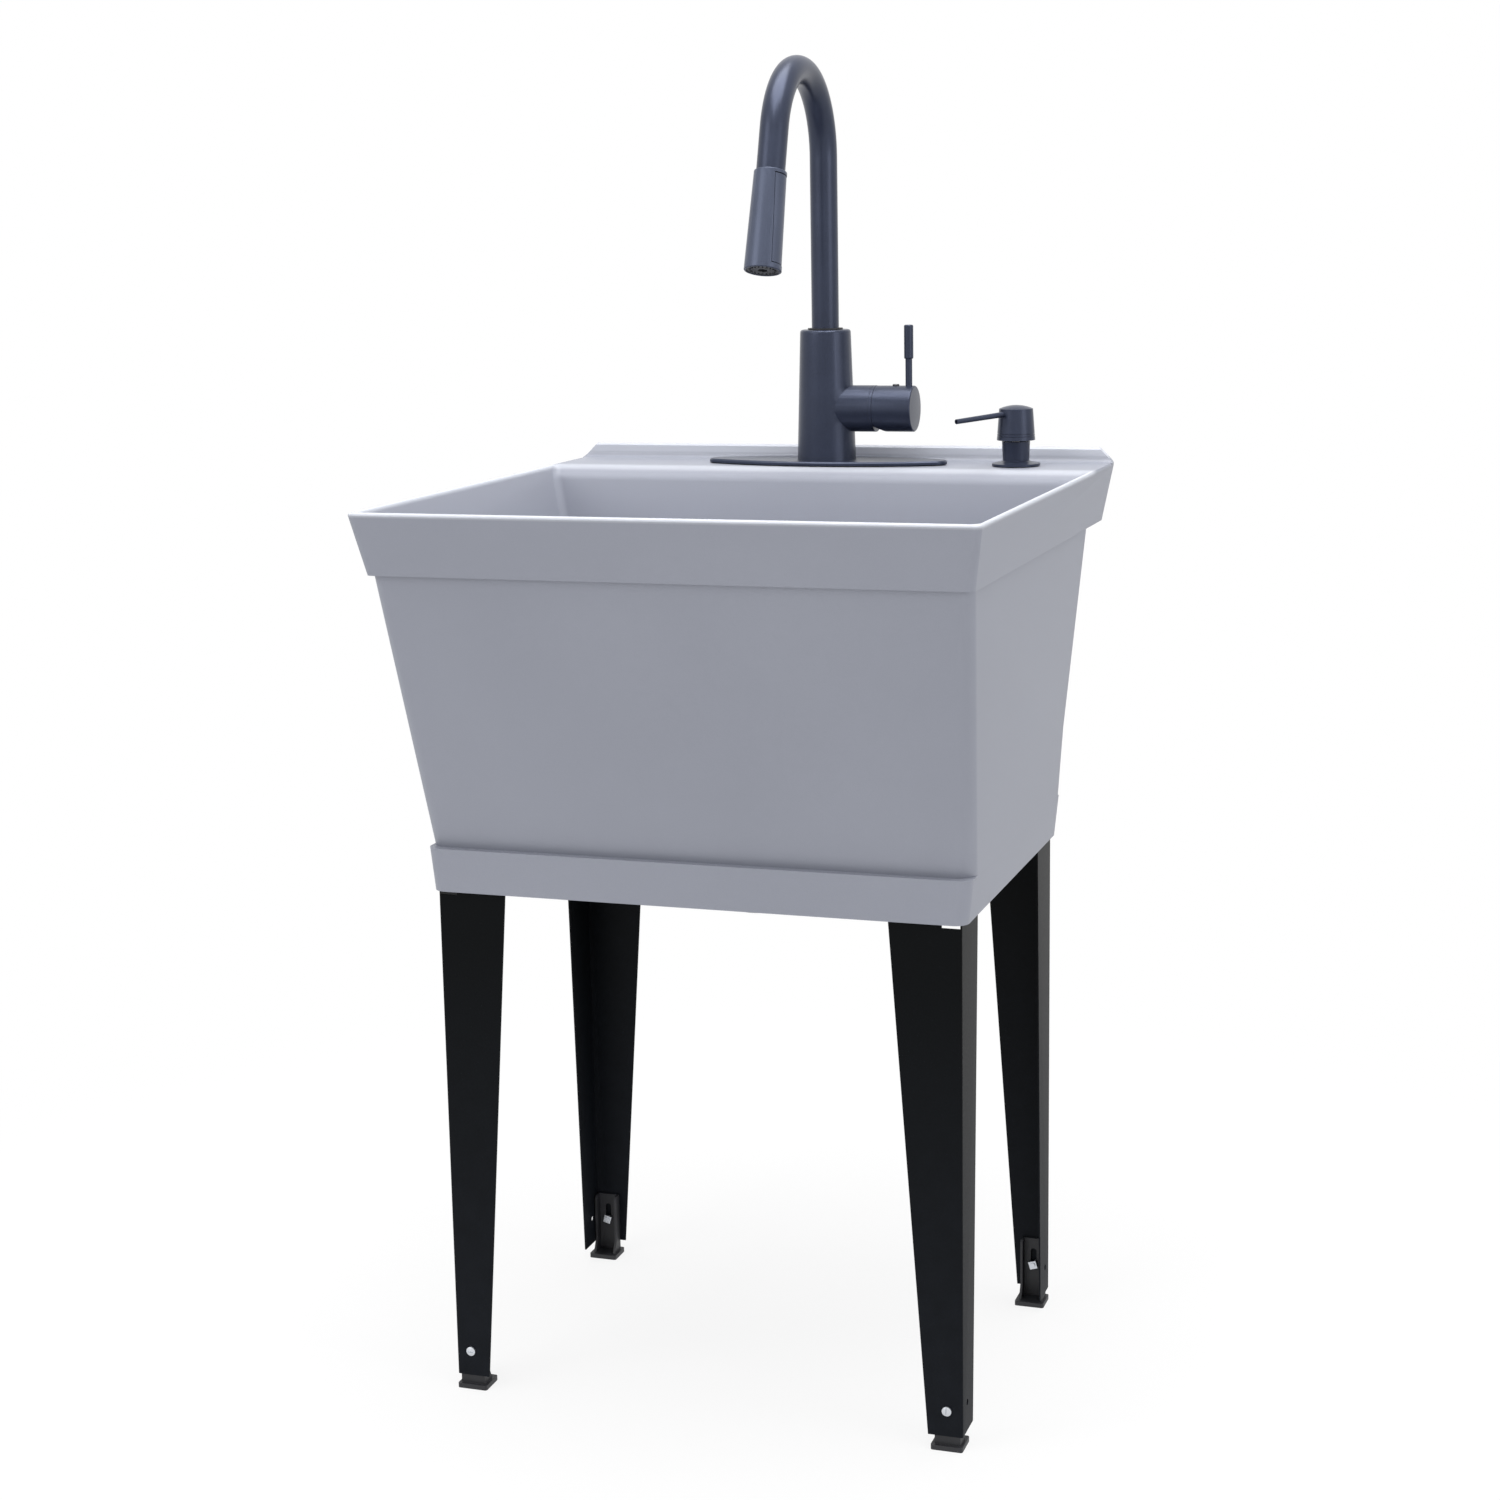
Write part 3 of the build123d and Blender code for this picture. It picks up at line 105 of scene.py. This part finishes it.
# %% Shader arithmetic
class Wire:
    """An output socket of a finish. Arithmetic on it adds Math nodes to the tree."""

    def __init__(self, tree, socket):
        self.tree, self.socket = tree, socket

    def node(self, kind, settings=None, inputs=None, output=0):
        made = self.tree.nodes.new(kind)
        for name, value in (settings or {}).items():
            if name == "stops":
                set_stops(made.color_ramp, value)
            else:
                setattr(made, name, value)
        for name, value in (inputs or {}).items():
            if isinstance(value, Wire):
                self.tree.links.new(value.socket, made.inputs[name])
            else:
                made.inputs[name].default_value = value
        return Wire(self.tree, made.outputs[output]) if len(made.outputs) else None

    def math(self, operation, first, second):
        return self.node("ShaderNodeMath", {"operation": operation}, {0: first, 1: second})

    def __add__(self, other):
        return self.math("ADD", self, other)

    def __sub__(self, other):
        return self.math("SUBTRACT", self, other)

    def __rsub__(self, other):
        return self.math("SUBTRACT", other, self)

    def __mul__(self, other):
        return self.math("MULTIPLY", self, other)


def set_stops(ramp, stops):
    """stops are (place, grey or colour) pairs along the ramp."""
    while len(ramp.elements) < len(stops):
        ramp.elements.new(0.5)
    for element, (place, value) in zip(ramp.elements, stops):
        element.position = place
        element.color = value if hasattr(value, "__len__") else (value, value, value, 1)


print("wires ready")

# %% [markdown]
# ## Patterns that several finishes share
# Moulded plastic has a fine grain, sprayed lacquer an orange peel, and both are a little cloudy
# over a hand's breadth. All three are noise at different sizes, read from Object coordinates in
# metres, so that a scale of 900 means dimples about a millimetre apart.

# %% Shared patterns
def colour(red, green, blue):
    """A screen colour of 0 to 255, as the linear colour that a shader wants."""
    def linear(value):
        share = value / 255
        return share / 12.92 if share <= 0.04045 else ((share + 0.055) / 1.055) ** 2.4
    return (linear(red), linear(green), linear(blue), 1.0)


def noise(place, scale, detail=2.0, rough=0.5):
    inputs = {"Vector": place, "Scale": scale, "Detail": detail, "Roughness": rough}
    return place.node("ShaderNodeTexNoise", {}, inputs)


def stretched(place, x, y, z):
    return place.node("ShaderNodeVectorMath", {"operation": "MULTIPLY"}, {0: place, 1: (x, y, z)})


def ramp(wire, *stops):
    return wire.node("ShaderNodeValToRGB", {"stops": stops}, {0: wire})


def mixed(share, first, second):
    return share.node("ShaderNodeMix", {"data_type": "RGBA"}, {0: share, 6: first, 7: second}, output=2)


def split(place, output):
    """One number out of a vector: 0 is x, 1 is y, 2 is z."""
    return place.node("ShaderNodeSeparateXYZ", {}, {0: place}, output)


def bump(height, strength, distance=0.0005):
    inputs = {"Height": height, "Strength": strength, "Distance": distance}
    return height.node("ShaderNodeBump", {}, inputs)


finishes = {}


def finish(name, build):
    """build gets the Object coordinates and returns what the main shader's sockets take."""
    material = bpy.data.materials.new(name)
    material.use_nodes = True
    tree = material.node_tree
    tree.nodes.clear()
    place = Wire(tree, tree.nodes.new("ShaderNodeTexCoord").outputs["Object"])
    shader = place.node("ShaderNodeBsdfPrincipled", {}, build(place))
    place.node("ShaderNodeOutputMaterial", {}, {"Surface": shader})
    finishes[name] = material
    print("finish:", name, "nodes:", len(tree.nodes))


# %% [markdown]
# ## Grey tub plastic
# The tub is a cool mid grey plastic, matt, with a fine grain and faint clouding. Noise of two
# sizes carries that. Light and shade are painted into its colour as well. The rim and the back lip
# are paler than the tub's front, a painted highlight, and the inside of the bowl is paler, painted
# light, both for light that these lamps don't give. The deck is darker, painted shade, because the
# overhead lamp lights it too brightly. These tones were set by comparing the tones of small areas.
# A real tub is likely one colour, so under other light these painted steps are better left out.
# The mask for the inside is the distance to the nearest of the four slanted walls. Each wall is a
# line through the middle of its thickness: a place at the rim, and a slope per metre down.

# %% Tub plastic
RIM_Z, FLOOR_Z, APRON_Z = 0.864, 0.539, 0.806
SIDE_X, SIDE_SLOPE, SIDE_FLARE = 0.2805, 0.0619, 0.112
FRONT_Y, FRONT_SLOPE = 0.285, 0.2539
BACK_Y, BACK_SLOPE = 0.180, 0.0464
CORNER, CORNER_SLOPE = 0.010, 0.0186
MASK_EDGE = 500.0
TOP_FADE = (0.8605, 0.8635)
LIP_FADE = (0.867, 0.870)
DECK_FADE = (0.18, 0.20)
DECK_PAINTED_SHADE, RIM_PAINTED_HIGHLIGHT, LIP_PAINTED_HIGHLIGHT = 0.45, 0.7, 0.75


def inside_bowl(place):
    """1 on the bowl's inner faces, 0 on its outer ones, from lines through the middle of the wall."""
    x, y, z = split(place, 0), split(place, 1), split(place, 2)
    drop = RIM_Z - z
    flare = z.math("MAXIMUM", z - APRON_Z, 0.0) * SIDE_FLARE
    side = SIDE_X - x.math("ABSOLUTE", x, 0.0) - drop * SIDE_SLOPE + flare
    front = y + FRONT_Y - drop * FRONT_SLOPE
    back = BACK_Y - y - drop * BACK_SLOPE
    corner = drop * CORNER_SLOPE + CORNER
    past_side = z.math("MAXIMUM", corner - side, 0.0)
    past_end = z.math("MAXIMUM", corner - z.math("MINIMUM", front, back), 0.0)
    walls = corner - z.math("SQRT", past_side * past_side + past_end * past_end, 0.0)
    nearest = z.math("MINIMUM", walls, z - FLOOR_Z)
    return ramp(nearest * MASK_EDGE + 0.5, (0.0, 0.0), (1.0, 1.0))


def fade(number, places):
    return ramp(number, (places[0], 0.0), (places[1], 1.0))


def tub_plastic(place):
    clouds = noise(place, 4.0, 3.0)
    grain = noise(place, 1100.0, 2.0)
    shade = clouds * 0.7 + grain * 0.3
    top = fade(split(place, 2), TOP_FADE)
    lip = fade(split(place, 2), LIP_FADE)
    behind = fade(split(place, 1), DECK_FADE)
    body = mixed(ramp(shade, (0.35, 0.0), (0.65, 1.0)), colour(138, 141, 152), colour(143, 146, 157))
    # Painted light: the inside of the bowl is painted paler than the outside.
    body = mixed(inside_bowl(place), body, colour(158, 161, 172))
    # Painted shade: the deck is painted darker, as the overhead lamp lights it too brightly.
    body = mixed(top * behind * DECK_PAINTED_SHADE, body, colour(124, 127, 137))
    # Painted highlight: the front and side rim is painted nearly white.
    body = mixed(top * (1.0 - behind) * RIM_PAINTED_HIGHLIGHT, body, colour(206, 209, 216))
    return {
        # Painted highlight: the back lip is painted paler.
        "Base Color": mixed(lip * LIP_PAINTED_HIGHLIGHT, body, colour(196, 199, 208)),
        "Roughness": clouds * 0.10 - top * 0.06 + 0.42,
        "Specular IOR Level": 0.4,
        "Normal": bump(grain, 0.25, 0.0004),
    }


finish("tub_plastic", tub_plastic)

# %% [markdown]
# ## Powder-coated legs
# The legs are black satin powder coat, with an orange peel a millimetre or two across. Their
# colour is painted paler towards the floor, as a painted sheen.

# %% Powder coat
PAINTED_SHEEN_FULL_Z, PAINTED_SHEEN_GONE_Z = 0.02, 0.45


def leg_steel(place):
    peel = noise(place, 650.0, 2.0)
    patches = noise(place, 60.0, 4.0)
    # Painted sheen: the colour is paler towards the floor, in patches.
    low = ramp(split(place, 2), (PAINTED_SHEEN_FULL_Z, 1.0), (PAINTED_SHEEN_GONE_Z, 0.0))
    return {
        "Base Color": mixed(low * (patches * 0.6 + 0.4), colour(5, 7, 9), colour(25, 28, 34)),
        "Roughness": peel * 0.10 + low * 0.08 + 0.40,
        "Specular IOR Level": 0.08,
        "Normal": bump(peel, 0.22, 0.0004),
    }


finish("leg_steel", leg_steel)

# %% [markdown]
# ## Sprayed faucet finish
# The faucet, its lever and the soap pump share a satin blue-black lacquer with a fine sparkle.
# A weak metallic share gives the soft long highlights, and small noise gives the sparkle.

# %% Faucet lacquer
def lacquer(dark, light, rough, metal):
    def build(place):
        sparkle = noise(place, 2400.0, 1.0)
        clouds = noise(place, 25.0, 2.0)
        return {
            "Base Color": mixed(sparkle * 0.7 + clouds * 0.3, dark, light),
            "Roughness": sparkle * 0.12 + rough,
            "Metallic": metal,
            "Specular IOR Level": 0.3,
            "Normal": bump(sparkle, 0.10, 0.0003),
        }
    return build


finish("faucet_finish", lacquer(colour(26, 30, 43), colour(68, 75, 95), 0.24, 0.45))
finish("head_plastic", lacquer(colour(44, 50, 66), colour(92, 99, 118), 0.26, 0.40))

# %% [markdown]
# ## The small parts
# The pieces below the deck and inside the faucet are hidden in the picture. Their zinc, brass,
# stainless steel, rubber and plain mouldings are guesses from such products. One recipe makes the
# metals, with turning marks as stretched noise, and one makes the mouldings.

# %% Metals and mouldings
def metal(dark, light, rough):
    def build(place):
        marks = noise(stretched(place, 60.0, 60.0, 2600.0), 1.0, 3.0, 0.6)
        stains = noise(place, 90.0, 3.0)
        return {
            "Base Color": mixed(marks * 0.6 + stains * 0.4, dark, light),
            "Metallic": 1.0,
            "Roughness": marks * 0.16 + stains * 0.10 + rough,
            "Normal": bump(marks, 0.08, 0.0002),
        }
    return build


def moulding(dark, light, rough, grain_scale=900.0, strength=0.15):
    def build(place):
        grain = noise(place, grain_scale, 2.0)
        clouds = noise(place, 40.0, 3.0)
        return {
            "Base Color": mixed(clouds * 0.7 + grain * 0.3, dark, light),
            "Roughness": grain * 0.14 + rough,
            "Normal": bump(grain, strength, 0.0003),
        }
    return build


STRANDS_AROUND, STRANDS_ALONG = 16, 60


def braid(place):
    """Two sets of strands that cross. Read from the map that the hose brings."""
    way = place.node("ShaderNodeUVMap", {"uv_map": "braid"})
    across, along = split(way, 0) * (STRANDS_AROUND * tau), split(way, 1) * (STRANDS_ALONG * tau)
    first = way.math("SINE", across + along, 0.0)
    second = way.math("SINE", across - along, 0.0)
    weave = first * second * 0.5 + 0.5
    return {
        "Base Color": mixed(ramp(weave, (0.1, 0.0), (0.7, 1.0)), colour(16, 16, 19), colour(70, 70, 76)),
        "Roughness": weave * 0.12 + 0.44,
        "Normal": bump(weave, 0.5, 0.0004),
    }


finish("foot_plastic", moulding(colour(20, 20, 23), colour(40, 41, 46), 0.48))
finish("black_plastic", moulding(colour(22, 22, 24), colour(38, 38, 41), 0.42))
finish("face_plastic", moulding(colour(24, 25, 29), colour(46, 48, 54), 0.40))
finish("index_plastic", moulding(colour(30, 31, 37), colour(60, 62, 70), 0.20))
finish("rubber", moulding(colour(20, 20, 20), colour(40, 39, 38), 0.72, 500.0, 0.3))
finish("drain_plastic", moulding(colour(214, 214, 209), colour(230, 230, 226), 0.35))
finish("cartridge_plastic", moulding(colour(214, 214, 208), colour(232, 231, 226), 0.28))
finish("bottle_plastic", moulding(colour(214, 219, 220), colour(234, 237, 238), 0.30))
finish("hose_braid", braid)
finish("zinc_steel", metal(colour(182, 186, 192), colour(224, 227, 232), 0.24))
finish("drain_steel", metal(colour(176, 179, 183), colour(214, 216, 219), 0.22))
finish("brass", metal(colour(176, 146, 84), colour(214, 184, 118), 0.24))
finish("cartridge_brass", metal(colour(176, 146, 84), colour(214, 184, 118), 0.30))

# %% [markdown]
# ## Finishes on the solids
# The record gives each solid a slot, and a slot is the name of a finish.

# %% Every solid takes the finish of its slot
subparts = frame["record"]["subparts"]
slot_of = {part["node"]: part["material_slot"] for part in subparts}
for node, slot in slot_of.items():
    mesh = nodes[node].data
    mesh.materials.clear()
    mesh.materials.append(finishes[slot])
print("slots used:", len(set(slot_of.values())))

# %% [markdown]
# ## Helpers for the fine pieces
# A new piece starts as a bmesh, becomes one object at the origin and takes the same finish. Most
# then ride on the body of the solid they stand for. A turned piece is a half outline spun round an axis.

# %% Piece helpers
bodies = frame["record"]["behaviour"]["bodies"]
body_of = {node: body for body, members in bodies.items() for node in members}


def new_piece(name, bm, like, smooth):
    """One object from bm with the finish of the node like. Edges over smooth degrees stay sharp."""
    bmesh.ops.recalc_face_normals(bm, faces=bm.faces)
    mesh = bpy.data.meshes.new(name)
    bm.to_mesh(mesh)
    bm.free()
    mesh.shade_smooth()
    mesh.set_sharp_from_angle(angle=radians(smooth))
    mesh.materials.append(finishes[slot_of[like]])
    piece = bpy.data.objects.new(name, mesh)
    bpy.context.scene.collection.objects.link(piece)
    print("piece:", name, "faces:", len(mesh.polygons))
    return piece


SPIN_STEPS = 64


def spun(outline, x, y):
    """A closed half outline of (radius, height) points, spun once round the upright line at x, y."""
    bm = bmesh.new()
    verts = [bm.verts.new((x + radius, y, height)) for radius, height in outline]
    edges = [bm.edges.new((verts[i - 1], verts[i])) for i in range(len(verts))]
    bmesh.ops.spin(bm, geom=verts + edges, cent=(x, y, 0), axis=(0, 0, 1), angle=tau,
                   steps=SPIN_STEPS, use_merge=True)
    bmesh.ops.remove_doubles(bm, verts=bm.verts, dist=1e-6)
    return bm


def thread(radius, depth, low, high, pitch):
    """Outline points of a V thread, from the lower end up."""
    turns = int((high - low) / pitch)
    points = []
    for i in range(turns):
        points += [(radius, low + i * pitch), (radius - depth, low + (i + 0.5) * pitch)]
    return points + [(radius, low + turns * pitch)]


# %% [markdown]
# ## Softened edges
# Nothing made of plastic, lacquered brass or coated sheet has a razor edge: each edge catches a
# thin line of light. The solids' flat faces are joined up again from their triangles in a copy,
# and a Bevel modifier rounds what is left. Curved faces stay smooth, because only edges sharper
# than the limit are bevelled.

# %% Softened copies
SAME_PLACE, FLAT_WITHIN, SHARP_FROM = 1e-5, 0.5, 32


def soften(node, width):
    bm = bmesh.new()
    bm.from_mesh(nodes[node].data)
    bmesh.ops.remove_doubles(bm, verts=bm.verts, dist=SAME_PLACE)
    bmesh.ops.dissolve_limit(bm, angle_limit=radians(FLAT_WITHIN), verts=bm.verts, edges=bm.edges,
                             use_dissolve_boundaries=False)
    piece = new_piece(node + "_soft", bm, node, SHARP_FROM)
    bevel = piece.modifiers.new("soft edge", "BEVEL")
    bevel.width, bevel.segments = width, 2
    bevel.limit_method, bevel.angle_limit = "ANGLE", radians(SHARP_FROM)
    bevel.harden_normals = True
    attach(piece, body_of[node])
    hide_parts(node)


SOFT_EDGES = {
    "tub": 0.0010,
    "deck_plate": 0.0004, "faucet_body": 0.0005, "valve_trim_ring": 0.0003, "handle_hub": 0.0004,
    "spray_shell": 0.0006, "spray_rocker": 0.0007,
    "leg_front_right": 0.0003, "leg_front_left": 0.0003,
    "leg_back_right": 0.0003, "leg_back_left": 0.0003,
    "foot_front_right": 0.0004, "foot_front_left": 0.0004,
    "foot_back_right": 0.0004, "foot_back_left": 0.0004,
}
for node, width in SOFT_EDGES.items():
    soften(node, width)

# %% [markdown]
# ## Screw thread
# The faucet's shank under the deck is a plain tube as a solid. Its thread here is a zigzag
# outline, spun. Rings look much like a true helix at this pitch, and they close cleanly. The
# outline stays within the solid's own radius, so the nut still fits over it.

# %% Thread
SHANK_PITCH, SHANK_DEPTH, SHANK_BORE = 0.0015, 0.0007, 0.0152


def threaded_tube(node, pitch, depth, bore):
    low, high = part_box(node)
    x, y = (low.x + high.x) / 2, (low.y + high.y) / 2
    radius = (high.x - low.x) / 2
    outline = thread(radius, depth, low.z, high.z, pitch)
    outline += [(radius, high.z), (bore, high.z), (bore, low.z)]
    piece = new_piece(node + "_threaded", spun(outline, x, y), node, 25)
    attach(piece, body_of[node])
    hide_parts(node)


threaded_tube("faucet_shank", SHANK_PITCH, SHANK_DEPTH, SHANK_BORE)

# %% [markdown]
# ## Pump spring
# The solid stand-in is a sleeve. Here it is round wire. Its seven turns are a guess, because the
# picture doesn't show the inside of the pump. A small circle is spun with a rise at each step.

# %% Spring
SPRING_TURNS, SPRING_STEPS, WIRE_RADIUS = 7, 28, 0.0007


def make_spring():
    turns, steps, wire = SPRING_TURNS, SPRING_STEPS, WIRE_RADIUS
    low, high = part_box("soap_spring")
    x, y = (low.x + high.x) / 2, (low.y + high.y) / 2
    coil = (high.x - low.x) / 2 - wire
    rise = (high.z - low.z - 2 * wire) / (turns * steps)
    bm = bmesh.new()
    stand = Matrix.Translation((x + coil, y, low.z + wire)) @ Matrix.Rotation(pi / 2, 4, "X")
    ring = bmesh.ops.create_circle(bm, segments=10, radius=wire, matrix=stand)
    edges = list({edge for vert in ring["verts"] for edge in vert.link_edges})
    bmesh.ops.spin(bm, geom=ring["verts"] + edges, cent=(x, y, 0), axis=(0, 0, 1),
                   dvec=(0, 0, rise), angle=tau * turns, steps=turns * steps)
    bmesh.ops.holes_fill(bm, edges=[edge for edge in bm.edges if edge.is_boundary])
    piece = new_piece("soap_spring_coil", bm, "soap_spring", 60)
    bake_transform(piece)
    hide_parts("soap_spring")


make_spring()

# %% [markdown]
# ## Spray hose
# The hose runs up the column, round the arc and down to the head. Circles are placed along that
# way and bridged. A real hose slides through the whole way when the head is pulled out. Here the
# straight end is a piece of its own with many close rings, and the rest stays in the spout. The
# braid follows a UV map that measures the length the end would have pulled out by 200 mm.

# %% Hose
HOSE_RADIUS, ARC_RADIUS, SWEEP = 0.00425, 0.083, radians(162.4)
LEAD, PULL, AROUND = 0.022, 0.2, 20
STEPS = 60                # in each of the column, the arc and the straight end
MAP_SCALE = 10            # the map counts tenths of a metre


def hose_rings():
    """(centre, direction, length so far when pulled) of each ring, from the shank to the connector."""
    low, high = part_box("spray_hose")
    back = high.y - HOSE_RADIUS
    centre = Vector((0, back - ARC_RADIUS, high.z - HOSE_RADIUS - ARC_RADIUS))
    rise = centre.z - low.z
    rings = []
    for i in range(STEPS):
        done = rise * i / STEPS
        rings.append((Vector((0, back, low.z + done)), Vector((0, 0, 1)), done))
    for i in range(STEPS + 1):
        turn = SWEEP * i / STEPS
        spot = centre + ARC_RADIUS * Vector((0, cos(turn), sin(turn)))
        rings.append((spot, Vector((0, -sin(turn), cos(turn))), rise + ARC_RADIUS * turn))
    end, ahead, done = rings[-1]
    for i in range(1, STEPS + 1):
        share = i / STEPS
        drawn = PULL * share * share * (3 - 2 * share)
        rings.append((end + ahead * LEAD * share, ahead, done + LEAD * share + drawn))
    return rings, end


def is_rim(edge, circle):
    """True for an open edge of this circle, with no face on it or a face on one side only."""
    return len(edge.link_faces) < 2 and all(vert in circle for vert in edge.verts)


def hose_piece(name, rings):
    bm = bmesh.new()
    uv = bm.loops.layers.uv.new("braid")
    loops = []
    for spot, ahead, done in rings:
        turn = Vector((0, 0, 1)).rotation_difference(ahead).to_matrix().to_4x4()
        stand = Matrix.Translation(spot) @ turn
        made = bmesh.ops.create_circle(bm, segments=AROUND, radius=HOSE_RADIUS, matrix=stand)
        loops.append(made["verts"])
    along = {vert: ring[2] for verts, ring in zip(loops, rings) for vert in verts}
    around = {vert: k / AROUND for verts in loops for k, vert in enumerate(verts)}
    for lower, upper in zip(loops, loops[1:]):
        edges = {edge for vert in lower + upper for edge in vert.link_edges}
        rims = [edge for edge in edges if is_rim(edge, lower) or is_rim(edge, upper)]
        bmesh.ops.bridge_loops(bm, edges=rims)
    for face in bm.faces:
        turns = [around[loop.vert] for loop in face.loops]
        wraps = max(turns) - min(turns) > 0.5
        for loop, turn in zip(face.loops, turns):
            loop[uv].uv = (turn + 1 if wraps and turn < 0.5 else turn, along[loop.vert] * MAP_SCALE)
    bmesh.ops.holes_fill(bm, edges=[edge for edge in bm.edges if edge.is_boundary])
    piece = new_piece(name, bm, "spray_hose", 60)
    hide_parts("spray_hose")
    return piece


def make_hose():
    """What is inside the column and the arc stays there. The straight end is a piece of its own."""
    rings, start = hose_rings()
    arc_end = next(i for i, ring in enumerate(rings) if ring[0] == start)
    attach(hose_piece("spray_hose_in_spout", rings[:arc_end + 1]), "spout")
    pulled = hose_piece("spray_hose_pulled", rings[arc_end:])
    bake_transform(pulled)


make_hose()

# %% [markdown]
# ## Floor and background
# The picture has a plain white ground. A big pale floor keeps the object's shadow. To the camera
# most of its colour is a glow at strength 1, and further out all of it is, so the ground stays
# white without more light on the object. The world is at full strength to the camera too, and
# weaker as a light.

# %% Floor and world
FLOOR_GLOW, FLOOR_SIZE = 0.84, 30
FADE_FROM, FADE_TO = 0.4, 1.3
SEEN_BY = ("Is Camera Ray", "Is Glossy Ray", "Is Transmission Ray")


def camera_like(wire):
    """1 for rays from the camera, and for those that mirror or pass through to the background."""
    rays = wire.tree.nodes.new("ShaderNodeLightPath")
    seen = [Wire(wire.tree, rays.outputs[name]) for name in SEEN_BY]
    return wire.math("MINIMUM", seen[0] + seen[1] + seen[2], 1.0)


def make_floor():
    bm = bmesh.new()
    bmesh.ops.create_grid(bm, x_segments=1, y_segments=1, size=FLOOR_SIZE)
    mesh = bpy.data.meshes.new("floor")
    bm.to_mesh(mesh)
    bm.free()
    floor = bpy.data.objects.new("floor", mesh)
    bpy.context.scene.collection.objects.link(floor)
    return floor


def floor_finish():
    material = bpy.data.materials.new("floor_paint")
    material.use_nodes = True
    tree = material.node_tree
    tree.nodes.clear()
    place = Wire(tree, tree.nodes.new("ShaderNodeTexCoord").outputs["Object"])
    paint = place.node("ShaderNodeBsdfDiffuse", {}, {"Color": (0.86, 0.86, 0.86, 1)})
    glow = place.node("ShaderNodeEmission", {}, {"Color": (1, 1, 1, 1), "Strength": 1.0})
    away = place.node("ShaderNodeVectorMath", {"operation": "LENGTH"}, {0: place}, 1)
    fading = {"Value": away, "From Min": FADE_FROM, "From Max": FADE_TO}
    far = away.node("ShaderNodeMapRange", {"interpolation_type": "SMOOTHSTEP"}, fading)
    share = camera_like(place) * (far * (1.0 - FLOOR_GLOW) + FLOOR_GLOW)
    surface = place.node("ShaderNodeMixShader", {}, {0: share, 1: paint, 2: glow})
    place.node("ShaderNodeOutputMaterial", {}, {"Surface": surface})
    return material


floor = make_floor()
floor.data.materials.append(floor_finish())

AMBIENT = 0.60
world = bpy.data.worlds.new("studio")
world.use_nodes = True
world.node_tree.nodes.clear()
sky = Wire(world.node_tree, world.node_tree.nodes.new("ShaderNodeTexCoord").outputs["Generated"])
strength = camera_like(sky) * (1.0 - AMBIENT) + AMBIENT
background = sky.node("ShaderNodeBackground", {}, {"Color": (1, 1, 1, 1), "Strength": strength})
sky.node("ShaderNodeOutputWorld", {}, {"Surface": background})
bpy.context.scene.world = world
print("floor glow:", FLOOR_GLOW, "ambient:", AMBIENT)

# %% [markdown]
# ## Light
# Three soft boxes: a large one high on the left in front, which models the bowl, a weaker one on
# the right for the side wall and the leg flanges, and one overhead for the deck and the rim.

# %% Soft boxes
def soft_box(name, stand, aim, size, power):
    lamp = bpy.data.lights.new(name, "AREA")
    lamp.shape, lamp.size, lamp.energy = "SQUARE", size, power
    holder = bpy.data.objects.new(name, lamp)
    turn = (Vector(aim) - Vector(stand)).to_track_quat("-Z", "Y").to_matrix().to_4x4()
    holder.matrix_world = Matrix.Translation(Vector(stand)) @ turn
    bpy.context.scene.collection.objects.link(holder)
    print("soft box:", name, power, "W")


soft_box("key", (-1.9, -2.3, 2.3), (0, 0, 0.8), 1.8, 27)
soft_box("fill", (2.6, -0.9, 1.5), (0, 0, 0.8), 1.4, 13)
soft_box("top", (0.1, -0.1, 3.0), (0, 0, 0.8), 2.0, 80)

view = bpy.context.scene.view_settings
view.view_transform = "Standard"
print("view:", view.view_transform)
